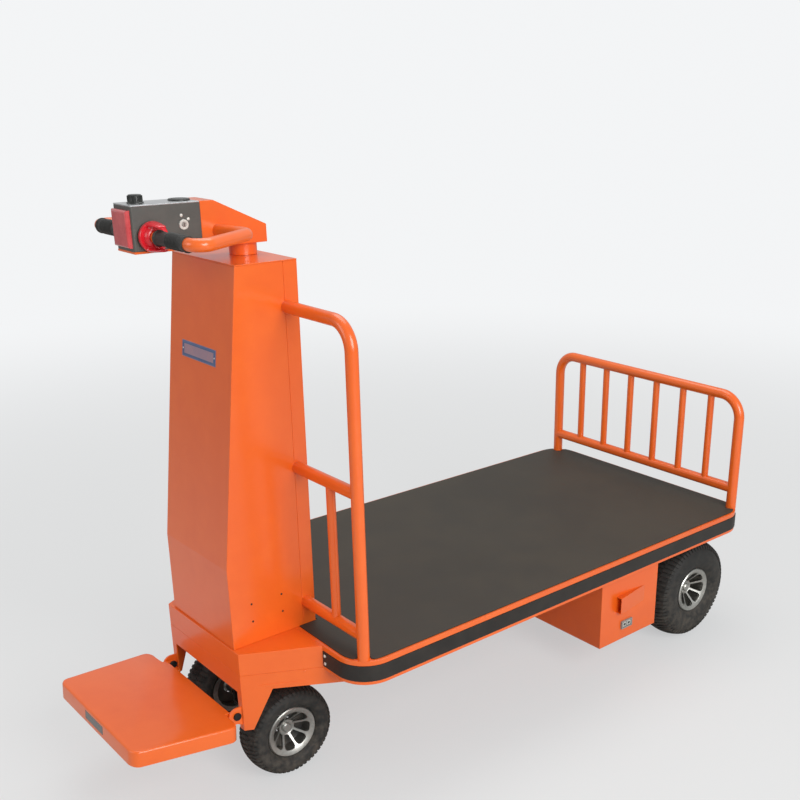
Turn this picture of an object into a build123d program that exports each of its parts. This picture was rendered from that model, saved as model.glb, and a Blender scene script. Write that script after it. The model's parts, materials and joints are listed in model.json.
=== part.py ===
from build123d import *
from math import atan2, cos, degrees, hypot, radians, sin, tan
import os

# Electric platform cart. X runs from the step to the rear guard, Z is up from the floor,
# and the side with the charging socket, called right, is -Y. Lengths are millimetres.
# Stations along X count from the deck's front edge until the last step, which moves
# the origin to the middle of the footprint.

# Deck
DECK_LENGTH = 1540
DECK_WIDTH = 850
DECK_TOP = 398
DECK_CORNER_R = 85
EDGE_HEIGHT = 64
DECK_SHEET = 3
LIP_TOP = 13
LIP_BOTTOM = 9
BUMPER_DEPTH = 8
BUMPER_PROUD = 2
BUMPER_FIT = 0.2
MAT_THICKNESS = 3
MAT_INSET = 12
MAT_FIT = 1.5
FRAME_RAIL_INSET = 175
FRAME_BAR_WIDTH = 30
FRAME_BAR_HEIGHT = 50
FRAME_END_GAP = 45
FRAME_CROSS_COUNT = 6
SHAFT_NOTCH_GAP = 8

# Base under the column
BASE_LENGTH = 178
BASE_FRONT_INSET = 245
BASE_REAR_INSET = 148
BASE_OVERRUN = 60
BASE_HEIGHT = 203
BASE_SHEET = 3
CAP_SKIRT = 50
ARCH_FOOT_STRIP = 20
ARCH_TOP_STRIP = 57
ARCH_PLATE_GAP = 5
OPENING_SIDE = 20
OPENING_PLATE_GAP = 8
BEARING_PLATE_DROP = 34
BEARING_PLATE_T = 6
BEARING_PLATE_GAP = 2
BEARING_HUB_R = 30
BEARING_HUB_H = 25

# Column
COLUMN_SETBACK = 4
COLUMN_LEAN = 94
COLUMN_KNEE_HEIGHT = 194
COLUMN_HEIGHT = 910
COLUMN_FOOT_REAR_X = 64
COLUMN_TOP_REAR_X = 84
CHANNEL_FOOT_DEPTH = 37
CHANNEL_TOP_DEPTH = 38
COLUMN_FOOT_INSET = 26
COLUMN_TAPER = 31
COLUMN_SHEET = 3
LID_THICKNESS = 3

# Rails
RAIL_R = 15
GUARD_R = 16
BAR_R = 11
FRONT_RAIL_X = 38
FRONT_RAIL_INSET = 31
FRONT_RAIL_HEIGHT = 805
FRONT_RAIL_MID_HEIGHT = 419
FRONT_RAIL_LOW_HEIGHT = 63
FRONT_RAIL_BAR_GAP = 107
FRONT_RAIL_BEND_R = 62
GUARD_END_INSET = 34
GUARD_SIDE_INSET = 36
GUARD_HEIGHT = 367
GUARD_LOW_HEIGHT = 67
GUARD_BEND_R = 70
GUARD_BAR_COUNT = 6

# Battery box
BATTERY_WHEEL_GAP = 25
BATTERY_LENGTH = 253
BATTERY_SIDE_INSET = 30
BATTERY_HEIGHT = 237
BATTERY_SHEET = 3
PACK_GAP = 8
PACK_HEADROOM = 44
HOOD_OFFSET = 66
HOOD_LENGTH = 128
HOOD_DEPTH = 20
HOOD_RISE = 100
HOOD_HEIGHT = 52
HOOD_SHEET = 2.5
SOCKET_OFFSET = 114
SOCKET_RISE = 49
SOCKET_WIDTH = 52
SOCKET_HEIGHT = 30
SOCKET_DEPTH = 6

# Wheels
FRONT_WHEEL_X = -42
FRONT_TYRE_R = 121
FRONT_TYRE_WIDTH = 90
FRONT_TRACK_HALF = 144
FRONT_RING_R = 69
REAR_AXLE_INSET = 211
REAR_TYRE_R = 162
REAR_TYRE_WIDTH = 125
REAR_WHEEL_INSET = 17
REAR_RING_R = 71.5
RIM_INSET = 10
FLANGE_THICKNESS = 5
FLANGE_HEIGHT = 9
BARREL_WALL = 4
SPOKE_COUNT = 8
SPOKE_WIDTH = 6
SPOKE_DEPTH = 8
SPOKE_PHASE = 30
WINDOW_MARGIN = 2
WINDOW_OUTER_R = 8
WINDOW_INNER_R = 2
HUB_R = 20
HUB_CAP_R = 12.5
HUB_CAP_H = 7
HUB_RECESS = 32
TYRE_SEAT_FIT = 0.1
TYRE_LIP = 1
TYRE_BELLY_SHARE = 0.45
TYRE_SHOULDER_DROP = 0.13
TYRE_SHOULDER_SHARE = 0.82
TYRE_WALL_BANDS = 3
TYRE_TREAD_BANDS = 2
SHAFT_FIT = 0.1

# Front axle and steering linkage
KINGPIN_INSET = 29
KINGPIN_R = 8
BARREL_R = 17
BARREL_HALF_H = 22
BEAM_WIDTH = 40
BEAM_HEIGHT = 36
PEDESTAL_Y = 28
PEDESTAL_LENGTH = 50
PEDESTAL_SHEET = 6
LUG_GAP = 0.5
LUG_THICKNESS = 10
KNUCKLE_PLATE_T = 8
KNUCKLE_PLATE_HALF = 18
KNUCKLE_GAP = 2.5
FRONT_SPINDLE_R = 10
SPINDLE_END_GAP = 2
BORE_END = 3
HUB_SIDE_GAP = 3
ARM_LENGTH = 60
ARM_WIDTH = 24
LINK_WIDTH = 14
LINK_HEIGHT = 10
LINK_EYE_R = 12
LINK_PIN_R = 5
LINK_GAP = 1
OPEN_PIVOT_FIT = 0.5

# Rear axle
AXLE_TUBE_R = 28
AXLE_TUBE_GAP = 19
REAR_SPINDLE_R = 12.5
GEARBOX_Y = -95
GEARBOX_WIDTH = 60
GEARBOX_R = 70
PINION_CASE_R = 56
MOTOR_AHEAD = 91
MOTOR_RISE = 16
MOTOR_R = 62
MOTOR_LENGTH = 190
HANGER_LENGTH = 90
HANGER_SHEET = 8
HANGER_FOOT = 14

# Steering head
STEER_X = 20
STEER_SHAFT_R = 15
STEER_FIT = 0.05
COLLAR_R = 32
COLLAR_HEIGHT = 28
COLLAR_LID_GAP = 0.3
HEAD_FLOOR_T = 5
HEAD_HALF = 42
HEAD_REACH = 282
HEAD_BOX_LENGTH = 160
HEAD_HEIGHT = 96
CREST_LENGTH = 33
BRACKET_TAIL = 41
BRACKET_TAIL_HEIGHT = 35
BRACKET_SHEET = 3
TOP_PANEL_T = 3
HEAD_CORNER_R = 4
BELLY_SIDE_MARGIN = 6
BELLY_END_MARGIN = 7.5
BELLY_DEPTH = 10
BELLY_CORNER_R = 6
KNOB_OFFSET = 32
KNOB_R = 18
KNOB_H = 18
BUTTON_OFFSET = 27
BUTTON_R = 24
BUTTON_H = 4
KEY_OFFSET = 42
KEY_DROP = 47
KEY_R = 11
KEY_H = 3
HANDLE_R = 14
HANDLE_RISE = 34
HANDLE_ROOT_OFFSET = 37
HANDLE_ROOT_RUN = 20
HANDLE_ELBOW_Y = 138
HANDLE_GRIP_OFFSET = 41
HANDLE_GRIP_Y = 243
HANDLE_BEND_R = 24
GRIP_THROTTLE_GAP = 7
GRIP_END_GAP = 2
GRIP_R = 17.5
GRIP_FIT = 0.1
THROTTLE_HEAD_GAP = 5
THROTTLE_WIDTH = 26
THROTTLE_R = 38
THROTTLE_BEVEL = 8

# Step
STEP_PIVOT_AHEAD = 14
STEP_PIVOT_RISE = 35
STEP_SLOPE = 5
STEP_REAR_GAP = 28
STEP_LENGTH = 257
STEP_TOP_RISE = 10
STEP_THICKNESS = 36
STEP_REAR_HALF = 231
STEP_TAPER = 27
STEP_CORNER_R = 22
STEP_SHEET = 3
STEP_SLOT_WIDTH = 100
STEP_SLOT_HEIGHT = 20
STEP_LAMP_DEPTH = 8
EAR_OPENING_GAP = 10
EAR_SHEET = 5
EAR_HALF_H = 22
STEP_ARM_GAP = 3
STEP_ARM_T = 5
STEP_PIN_R = 6
STEP_PIN_FIT = 0.05
STEP_HEAD_R = 10
STEP_HEAD_H = 5
STEP_HEEL_GAP = 0.3
STEP_HEEL_H = 12
STEP_TONGUE = 13

# Heights and stations worked out from the sizes above
DECK_HALF = DECK_WIDTH / 2
DECK_BOTTOM = DECK_TOP - EDGE_HEIGHT
FRAME_TOP = DECK_TOP - DECK_SHEET
FRAME_BOTTOM = FRAME_TOP - FRAME_BAR_HEIGHT
FRAME_RAIL_Y = DECK_HALF - FRAME_RAIL_INSET

BASE_FRONT_X = -BASE_LENGTH
BASE_FRONT_HALF = DECK_HALF - BASE_FRONT_INSET
BASE_REAR_HALF = DECK_HALF - BASE_REAR_INSET
BASE_BOTTOM = DECK_TOP - BASE_HEIGHT
BEARING_PLATE_Z = DECK_BOTTOM - BEARING_PLATE_DROP
BEARING_PLATE_REAR_X = BASE_OVERRUN - BASE_SHEET - BEARING_PLATE_GAP
ARCH_TOP = BEARING_PLATE_Z - ARCH_PLATE_GAP
ARCH_FRONT_FOOT_X = BASE_FRONT_X + ARCH_FOOT_STRIP
ARCH_FRONT_TOP_X = BASE_FRONT_X + ARCH_TOP_STRIP
OPENING_HALF = BASE_FRONT_HALF - OPENING_SIDE
OPENING_TOP = BEARING_PLATE_Z - OPENING_PLATE_GAP

COLUMN_FRONT_X = BASE_FRONT_X + COLUMN_SETBACK
COLUMN_TOP_FRONT_X = COLUMN_FRONT_X + COLUMN_LEAN
COLUMN_KNEE_Z = DECK_TOP + COLUMN_KNEE_HEIGHT
COLUMN_TOP_Z = DECK_TOP + COLUMN_HEIGHT
COLUMN_FOOT_HALF = BASE_FRONT_HALF - COLUMN_FOOT_INSET
COLUMN_TOP_HALF = COLUMN_FOOT_HALF - COLUMN_TAPER
SEAM_FOOT_X = COLUMN_FOOT_REAR_X - CHANNEL_FOOT_DEPTH
SEAM_TOP_X = COLUMN_TOP_REAR_X - CHANNEL_TOP_DEPTH
LID_BOTTOM = COLUMN_TOP_Z - LID_THICKNESS

FRONT_RAIL_Y = DECK_HALF - FRONT_RAIL_INSET
FRONT_RAIL_BAR_Y = FRONT_RAIL_Y - FRONT_RAIL_BAR_GAP
FRONT_RAIL_TOP_Z = DECK_TOP + FRONT_RAIL_HEIGHT
FRONT_RAIL_MID_Z = DECK_TOP + FRONT_RAIL_MID_HEIGHT
FRONT_RAIL_LOW_Z = DECK_TOP + FRONT_RAIL_LOW_HEIGHT
GUARD_X = DECK_LENGTH - GUARD_END_INSET
GUARD_Y = DECK_HALF - GUARD_SIDE_INSET
GUARD_TOP_Z = DECK_TOP + GUARD_HEIGHT
GUARD_LOW_Z = DECK_TOP + GUARD_LOW_HEIGHT

REAR_WHEEL_X = DECK_LENGTH - REAR_AXLE_INSET
REAR_TRACK_HALF = DECK_HALF - REAR_WHEEL_INSET - REAR_TYRE_WIDTH / 2
AXLE_TUBE_HALF = REAR_TRACK_HALF - REAR_TYRE_WIDTH / 2 - AXLE_TUBE_GAP
MOTOR_X = REAR_WHEEL_X - MOTOR_AHEAD
MOTOR_Z = REAR_TYRE_R + MOTOR_RISE
BATTERY_REAR_X = REAR_WHEEL_X - REAR_TYRE_R - BATTERY_WHEEL_GAP
BATTERY_FRONT_X = BATTERY_REAR_X - BATTERY_LENGTH
BATTERY_HALF = DECK_HALF - BATTERY_SIDE_INSET
BATTERY_BOTTOM = FRAME_BOTTOM - BATTERY_HEIGHT
HOOD_X = BATTERY_FRONT_X + HOOD_OFFSET
HOOD_Z = BATTERY_BOTTOM + HOOD_RISE
SOCKET_X = BATTERY_FRONT_X + SOCKET_OFFSET
SOCKET_Z = BATTERY_BOTTOM + SOCKET_RISE

KINGPIN_Y = FRONT_TRACK_HALF - FRONT_TYRE_WIDTH / 2 - KINGPIN_INSET
BEAM_Z = FRONT_TYRE_R
LUG_Z = BEAM_Z + BARREL_HALF_H + LUG_GAP
ARM_TOP = LUG_Z + LUG_THICKNESS
KNUCKLE_FACE_Y = KINGPIN_Y + BARREL_R + KNUCKLE_GAP

HEAD_FLOOR_Z = COLUMN_TOP_Z + COLLAR_HEIGHT
HEAD_BASE_Z = HEAD_FLOOR_Z + HEAD_FLOOR_T
HEAD_TOP_Z = HEAD_BASE_Z + HEAD_HEIGHT
HEAD_FRONT_X = STEER_X - HEAD_REACH
HEAD_SPLIT_X = HEAD_FRONT_X + HEAD_BOX_LENGTH
BRACKET_CREST_X = HEAD_SPLIT_X + CREST_LENGTH
BRACKET_REAR_X = STEER_X + BRACKET_TAIL
BRACKET_REAR_Z = HEAD_BASE_Z + BRACKET_TAIL_HEIGHT
BOX_TOP_Z = HEAD_TOP_Z - TOP_PANEL_T
KNOB_X = HEAD_FRONT_X + KNOB_OFFSET
BUTTON_X = HEAD_SPLIT_X - BUTTON_OFFSET
KEY_X = HEAD_SPLIT_X - KEY_OFFSET
KEY_Z = HEAD_TOP_Z - KEY_DROP
HANDLE_Z = HEAD_BASE_Z + HANDLE_RISE
HANDLE_ROOT_X = HEAD_SPLIT_X + HANDLE_ROOT_OFFSET
HANDLE_ELBOW_X = HANDLE_ROOT_X + HANDLE_ROOT_RUN
HANDLE_GRIP_X = HEAD_FRONT_X + HANDLE_GRIP_OFFSET
THROTTLE_INNER_Y = HEAD_HALF + THROTTLE_HEAD_GAP
GRIP_INNER_Y = THROTTLE_INNER_Y + THROTTLE_WIDTH + GRIP_THROTTLE_GAP

STEP_PIVOT_X = BASE_FRONT_X - STEP_PIVOT_AHEAD
STEP_PIVOT_Z = BASE_BOTTOM + STEP_PIVOT_RISE
STEP_REAR_X = STEP_PIVOT_X - STEP_REAR_GAP
STEP_FRONT_X = STEP_REAR_X - STEP_LENGTH
STEP_TOP_Z = STEP_PIVOT_Z + STEP_TOP_RISE
STEP_BOTTOM_Z = STEP_TOP_Z - STEP_THICKNESS
STEP_FRONT_HALF = STEP_REAR_HALF - STEP_TAPER
EAR_Y = OPENING_HALF + EAR_OPENING_GAP
STEP_ARM_Y = EAR_Y - STEP_ARM_GAP

SIDES = (("right", -1), ("left", 1))


def prism(points, z0, z1):
    """Upright prism on a plan outline."""
    face = make_face(Polyline(*[(x, y, z0) for x, y in points], close=True))
    return extrude(face, amount=z1 - z0, dir=(0, 0, 1))


def side_prism(points, y0, y1):
    """Prism on an XZ outline, from y0 to y1."""
    face = make_face(Polyline(*[(x, y0, z) for x, z in points], close=True))
    return extrude(face, amount=y1 - y0, dir=(0, 1, 0))


def front_prism(points, x0, x1):
    """Prism on a YZ outline, from x0 to x1."""
    face = make_face(Polyline(*[(x0, y, z) for y, z in points], close=True))
    return extrude(face, amount=x1 - x0, dir=(1, 0, 0))


def block(x0, x1, y0, y1, z0, z1):
    """Box between two corners."""
    middle = ((x0 + x1) / 2, (y0 + y1) / 2, (z0 + z1) / 2)
    return Pos(*middle) * Box(x1 - x0, y1 - y0, z1 - z0)


def post(x, y, r, z0, z1):
    """Upright cylinder."""
    return Pos(x, y, (z0 + z1) / 2) * Cylinder(r, z1 - z0)


def rod_y(x, z, r, y0, y1):
    """Cylinder along Y."""
    return Pos(x, (y0 + y1) / 2, z) * Rot(90, 0, 0) * Cylinder(r, abs(y1 - y0))


def slab(inset, z0, z1):
    """Deck outline with rounded corners, moved inwards by the inset."""
    size_x = DECK_LENGTH - 2 * inset
    size_y = DECK_WIDTH - 2 * inset
    outline = RectangleRounded(size_x, size_y, DECK_CORNER_R - inset)
    return Pos(DECK_LENGTH / 2, 0, z0) * extrude(outline, amount=z1 - z0)


def pipe(points, bend_r, r):
    """Round bar along a path of straight runs and tangent bends."""
    path = FilletPolyline(*points, radius=bend_r) if len(points) > 2 else Polyline(*points)
    start = Plane(origin=path @ 0, z_dir=path % 0)
    return sweep(start * Circle(r), path=path)


def mirrored(shape):
    return mirror(shape, about=Plane.XZ)


def both(shape):
    """A solid on the right and its mirror image on the left, not joined."""
    return Compound([shape, mirrored(shape)])


def base_half(x):
    """Half width of the base's flared sides at a station."""
    flare = (BASE_REAR_HALF - BASE_FRONT_HALF) / -BASE_FRONT_X
    return BASE_FRONT_HALF + flare * (x - BASE_FRONT_X)


def base_outline(x0, x1, inset):
    """Plan of the base between two stations, its sides moved in square to themselves."""
    angle = atan2(BASE_REAR_HALF - BASE_FRONT_HALF, -BASE_FRONT_X)
    step_in = inset / cos(angle)
    near = base_half(x0) - step_in
    far = base_half(x1) - step_in
    return [(x0, -near), (x1, -far), (x1, far), (x0, near)]


def deck_pan():
    pan = slab(0, DECK_BOTTOM, DECK_TOP)
    cavity = slab(BUMPER_DEPTH + DECK_SHEET, DECK_BOTTOM, FRAME_TOP)
    groove_z = (DECK_BOTTOM + LIP_BOTTOM, DECK_TOP - LIP_TOP)
    groove = slab(0, *groove_z) - slab(BUMPER_DEPTH, *groove_z)
    groove -= block(-1, BUMPER_DEPTH, -BASE_REAR_HALF, BASE_REAR_HALF, *groove_z)
    notch_half = STEER_SHAFT_R + SHAFT_NOTCH_GAP
    notch = block(0, STEER_X + notch_half, -notch_half, notch_half, DECK_BOTTOM, DECK_TOP)
    return pan - cavity - groove - notch


def edge_bumper():
    z = (DECK_BOTTOM + LIP_BOTTOM, DECK_TOP - LIP_TOP)
    band = slab(-BUMPER_PROUD, *z) - slab(BUMPER_DEPTH - BUMPER_FIT, *z)
    gap = BASE_REAR_HALF + BUMPER_FIT
    return band - block(-DECK_CORNER_R, DECK_CORNER_R, -gap, gap, *z)


def deck_mat():
    z = (DECK_TOP, DECK_TOP + MAT_THICKNESS)
    mat = slab(MAT_INSET, *z)
    half = COLUMN_FOOT_HALF + MAT_FIT
    mat -= block(0, COLUMN_FOOT_REAR_X + MAT_FIT, -half, half, *z)
    for y in (-FRONT_RAIL_Y, FRONT_RAIL_Y):
        mat -= post(FRONT_RAIL_X, y, RAIL_R + MAT_FIT, *z)
    for y in (-GUARD_Y, GUARD_Y):
        mat -= post(GUARD_X, y, GUARD_R + MAT_FIT, *z)
    return mat


def deck_rails():
    """Two long bars under the deck sheet."""
    half = FRAME_BAR_WIDTH / 2
    x = (FRAME_END_GAP, DECK_LENGTH - FRAME_END_GAP)
    return both(block(*x, -FRAME_RAIL_Y - half, -FRAME_RAIL_Y + half, FRAME_BOTTOM, FRAME_TOP))


def deck_crossbars():
    """Bars across the deck, each cut into a middle piece and two outer ones at the rails."""
    half = FRAME_BAR_WIDTH / 2
    first = FRAME_END_GAP + half
    pitch = (DECK_LENGTH - 2 * first) / (FRAME_CROSS_COUNT - 1)
    reach = DECK_HALF - BUMPER_DEPTH - DECK_SHEET
    z = (FRAME_BOTTOM, FRAME_TOP)
    bars = []
    for i in range(FRAME_CROSS_COUNT):
        x = (first + i * pitch - half, first + i * pitch + half)
        at_end = i in (0, FRAME_CROSS_COUNT - 1)
        end = reach - DECK_CORNER_R if at_end else reach
        outer = block(*x, -end, -FRAME_RAIL_Y - half, *z)
        middle = block(*x, -FRAME_RAIL_Y + half, FRAME_RAIL_Y - half, *z)
        bars += [outer, mirrored(outer), middle]
    return Compound(bars)


def base_shell():
    """Front wall and flared side plates, with the step's ears."""
    cap_bottom = DECK_TOP - CAP_SKIRT
    shell = None
    for x0, x1, top in ((BASE_FRONT_X, 0, cap_bottom), (0, BASE_OVERRUN, DECK_BOTTOM)):
        wall = prism(base_outline(x0, x1, 0), BASE_BOTTOM, top)
        shell = wall if shell is None else shell + wall
    inner_x = BASE_FRONT_X + BASE_SHEET
    shell -= prism(base_outline(inner_x, BASE_OVERRUN - BASE_SHEET, BASE_SHEET), BASE_BOTTOM, cap_bottom)
    arch = [
        (ARCH_FRONT_FOOT_X, BASE_BOTTOM),
        (ARCH_FRONT_TOP_X, ARCH_TOP),
        (BASE_OVERRUN, ARCH_TOP),
        (BASE_OVERRUN, BASE_BOTTOM),
    ]
    shell -= side_prism(arch, -DECK_WIDTH, DECK_WIDTH)
    shell -= block(BASE_FRONT_X, inner_x, -OPENING_HALF, OPENING_HALF, BASE_BOTTOM, OPENING_TOP)
    for s in (-1, 1):
        shell += step_ear(s)
    return shell


def step_ear(s):
    z = STEP_PIVOT_Z
    y = sorted((s * EAR_Y, s * (EAR_Y + EAR_SHEET)))
    tab = block(STEP_PIVOT_X, BASE_FRONT_X, *y, z - EAR_HALF_H, z + EAR_HALF_H)
    tab += rod_y(STEP_PIVOT_X, z, EAR_HALF_H, *y)
    return tab - rod_y(STEP_PIVOT_X, z, STEP_PIN_R + STEP_PIN_FIT, *y)


def base_cap():
    """Folded top sheet whose skirt meets the shell's upper edge."""
    z0 = DECK_TOP - CAP_SKIRT
    cap = prism(base_outline(BASE_FRONT_X, 0, 0), z0, DECK_TOP)
    inner_x = BASE_FRONT_X + BASE_SHEET
    return cap - prism(base_outline(inner_x, 0, BASE_SHEET), z0, DECK_TOP - BASE_SHEET)


def bearing_plate():
    """Cross plate inside the base that carries the steering shaft and the axle."""
    z1 = BEARING_PLATE_Z + BEARING_PLATE_T
    x0 = BASE_FRONT_X + BASE_SHEET
    plate = prism(base_outline(x0, BEARING_PLATE_REAR_X, BASE_SHEET), BEARING_PLATE_Z, z1)
    plate += post(STEER_X, 0, BEARING_HUB_R, z1, z1 + BEARING_HUB_H)
    return plate - post(STEER_X, 0, STEER_SHAFT_R + STEER_FIT, BEARING_PLATE_Z, z1 + BEARING_HUB_H)


def column_side(inset):
    """The column's side view, with front, knee and rear edges moved inwards."""
    return [
        (COLUMN_FRONT_X + inset, DECK_TOP),
        (COLUMN_FRONT_X + inset, COLUMN_KNEE_Z),
        (COLUMN_TOP_FRONT_X + inset, COLUMN_TOP_Z),
        (COLUMN_TOP_REAR_X - inset, COLUMN_TOP_Z),
        (COLUMN_FOOT_REAR_X - inset, DECK_TOP),
    ]


def column_half(z):
    share = (z - DECK_TOP) / (COLUMN_TOP_Z - DECK_TOP)
    return COLUMN_FOOT_HALF + share * (COLUMN_TOP_HALF - COLUMN_FOOT_HALF)


def column_body(inset):
    """Column prism in side view, cut to the taper that it has from the front."""
    foot = COLUMN_FOOT_HALF - inset
    top = COLUMN_TOP_HALF - inset
    taper = [(-foot, DECK_TOP), (-top, COLUMN_TOP_Z), (top, COLUMN_TOP_Z), (foot, DECK_TOP)]
    x = (COLUMN_FRONT_X, COLUMN_TOP_REAR_X)
    return side_prism(column_side(inset), -foot, foot) & front_prism(taper, *x)


def seam_wedge(front):
    """Half space in front of, or behind, the seam between cover and channel."""
    edge = COLUMN_FRONT_X if front else COLUMN_TOP_REAR_X
    outline = [(edge, DECK_TOP), (SEAM_FOOT_X, DECK_TOP), (SEAM_TOP_X, COLUMN_TOP_Z), (edge, COLUMN_TOP_Z)]
    return side_prism(outline, -COLUMN_FOOT_HALF, COLUMN_FOOT_HALF)


def column_walls():
    """Sheet walls on all four sides, open at the head and foot."""
    return column_body(0) - column_body(COLUMN_SHEET)


def below_lid():
    x = (COLUMN_FRONT_X, COLUMN_TOP_REAR_X)
    return block(*x, -COLUMN_FOOT_HALF, COLUMN_FOOT_HALF, DECK_TOP, LID_BOTTOM)


def column_cover():
    return column_walls() & seam_wedge(True) & below_lid()


def column_channel():
    return column_walls() & seam_wedge(False) & below_lid()


def column_lid():
    x = (COLUMN_FRONT_X, COLUMN_TOP_REAR_X)
    half = COLUMN_FOOT_HALF
    lid = column_body(0) & block(*x, -half, half, LID_BOTTOM, COLUMN_TOP_Z)
    lid += post(STEER_X, 0, BEARING_HUB_R, LID_BOTTOM - BEARING_HUB_H, LID_BOTTOM)
    return lid - post(STEER_X, 0, STEER_SHAFT_R + STEER_FIT, LID_BOTTOM - BEARING_HUB_H, COLUMN_TOP_Z)


def front_rail():
    """Right hand rail beside the column: hoop, two cross rails and one upright."""
    foot = (FRONT_RAIL_X, -FRONT_RAIL_Y, DECK_TOP)
    corner = (FRONT_RAIL_X, -FRONT_RAIL_Y, FRONT_RAIL_TOP_Z)
    rail = pipe([foot, corner, (FRONT_RAIL_X, 0, FRONT_RAIL_TOP_Z)], FRONT_RAIL_BEND_R, RAIL_R)
    for z in (FRONT_RAIL_MID_Z, FRONT_RAIL_LOW_Z):
        rail += rod_y(FRONT_RAIL_X, z, RAIL_R, -FRONT_RAIL_Y, 0)
    rail += post(FRONT_RAIL_X, -FRONT_RAIL_BAR_Y, BAR_R, FRONT_RAIL_LOW_Z, FRONT_RAIL_MID_Z)
    return rail - column_body(0)


def rear_guard():
    foot = DECK_TOP
    path = [
        (GUARD_X, -GUARD_Y, foot),
        (GUARD_X, -GUARD_Y, GUARD_TOP_Z),
        (GUARD_X, GUARD_Y, GUARD_TOP_Z),
        (GUARD_X, GUARD_Y, foot),
    ]
    guard = pipe(path, GUARD_BEND_R, GUARD_R)
    guard += rod_y(GUARD_X, GUARD_LOW_Z, GUARD_R, -GUARD_Y, GUARD_Y)
    pitch = 2 * GUARD_Y / (GUARD_BAR_COUNT + 1)
    for i in range(GUARD_BAR_COUNT):
        y = -GUARD_Y + pitch * (i + 1)
        guard += post(GUARD_X, y, BAR_R, GUARD_LOW_Z, GUARD_TOP_Z)
    return guard


def battery_box():
    x = (BATTERY_FRONT_X, BATTERY_REAR_X)
    box = block(*x, -BATTERY_HALF, BATTERY_HALF, BATTERY_BOTTOM, FRAME_BOTTOM)
    t = BATTERY_SHEET
    half = BATTERY_HALF - t
    return box - block(x[0] + t, x[1] - t, -half, half, BATTERY_BOTTOM + t, FRAME_BOTTOM)


def battery_pack():
    gap = BATTERY_SHEET + PACK_GAP
    z = (BATTERY_BOTTOM + BATTERY_SHEET, FRAME_BOTTOM - PACK_HEADROOM)
    half = BATTERY_HALF - gap
    return block(BATTERY_FRONT_X + gap, BATTERY_REAR_X - gap, -half, half, *z)


def vent_hood():
    """Scoop on the box's side, open to the front and fading out to the rear."""
    y = -BATTERY_HALF
    t = HOOD_SHEET
    outer = [(HOOD_X, y), (HOOD_X, y - HOOD_DEPTH), (HOOD_X + HOOD_LENGTH, y)]
    reach = HOOD_LENGTH * (1 - t / HOOD_DEPTH)
    inner = [(HOOD_X, y), (HOOD_X, y - HOOD_DEPTH + t), (HOOD_X + reach, y)]
    hood = prism(outer, HOOD_Z, HOOD_Z + HOOD_HEIGHT)
    return hood - prism(inner, HOOD_Z + t, HOOD_Z + HOOD_HEIGHT - t)


def charge_socket():
    x = (SOCKET_X - SOCKET_WIDTH / 2, SOCKET_X + SOCKET_WIDTH / 2)
    z = (SOCKET_Z - SOCKET_HEIGHT / 2, SOCKET_Z + SOCKET_HEIGHT / 2)
    return block(*x, -BATTERY_HALF - SOCKET_DEPTH, -BATTERY_HALF, *z)


def rim(ring_r, tyre_width, hub_inner, bore_r):
    """Dished cast wheel about local Y, outer face towards +Y, with a blind axle bore."""
    bead = tyre_width / 2 - RIM_INSET - FLANGE_THICKNESS
    face = bead + FLANGE_THICKNESS
    seat_r = ring_r - FLANGE_HEIGHT
    barrel_r = seat_r - BARREL_WALL
    nose = hub_face(tyre_width)
    bevel = FLANGE_THICKNESS / 2
    section = [
        (bore_r, hub_inner),
        (HUB_R, hub_inner),
        (HUB_R, nose - SPOKE_DEPTH),
        (barrel_r, face - bevel - SPOKE_DEPTH),
        (barrel_r, -face),
        (ring_r, -face),
        (ring_r, -bead),
        (seat_r, -bead),
        (seat_r, bead),
        (ring_r, bead),
        (ring_r, face - bevel),
        (ring_r - bevel, face),
        (barrel_r, face - bevel),
        (HUB_R, nose),
        (HUB_CAP_R, nose),
        (HUB_CAP_R, nose + HUB_CAP_H - bevel),
        (HUB_CAP_R - bevel, nose + HUB_CAP_H),
        (0, nose + HUB_CAP_H),
        (0, nose - BORE_END),
        (bore_r, nose - BORE_END),
    ]
    wheel = spun(section)
    for window in windows(barrel_r - WINDOW_MARGIN, face):
        wheel -= window
    return wheel


def spun(section):
    """Ring from a section given as (radius, y)."""
    face = make_face(Polyline(*[(r, y, 0) for r, y in section], close=True))
    return revolve(face, axis=Axis.Y)


def along_y(r, y0, y1):
    return rod_y(0, 0, r, y0, y1)


def windows(outer_r, depth):
    """Leaf shaped windows between straight spokes that flare into the ring."""
    half_angle = radians(180 / SPOKE_COUNT)
    apex = SPOKE_WIDTH / 2 / sin(half_angle)
    inner = HUB_R + WINDOW_MARGIN
    spread = tan(half_angle)
    points = [
        (inner, (inner - apex) * spread),
        (outer_r, (outer_r - apex) * spread),
        (outer_r, -(outer_r - apex) * spread),
        (inner, -(inner - apex) * spread),
    ]
    sector = make_face(Polyline(*points, close=True)) & Circle(outer_r)
    corners = sector.vertices().sort_by(Axis.X)
    leaf = fillet(corners[-2:], WINDOW_OUTER_R)
    leaf = fillet(leaf.vertices().sort_by(Axis.X)[:2], WINDOW_INNER_R)
    tool = Rot(90, 0, 0) * Pos(0, 0, -depth) * extrude(leaf, amount=2 * depth)
    cuts = []
    for i in range(SPOKE_COUNT):
        cuts.append(Rot(0, SPOKE_PHASE + 360 * (i + 0.5) / SPOKE_COUNT, 0) * tool)
    return cuts


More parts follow.
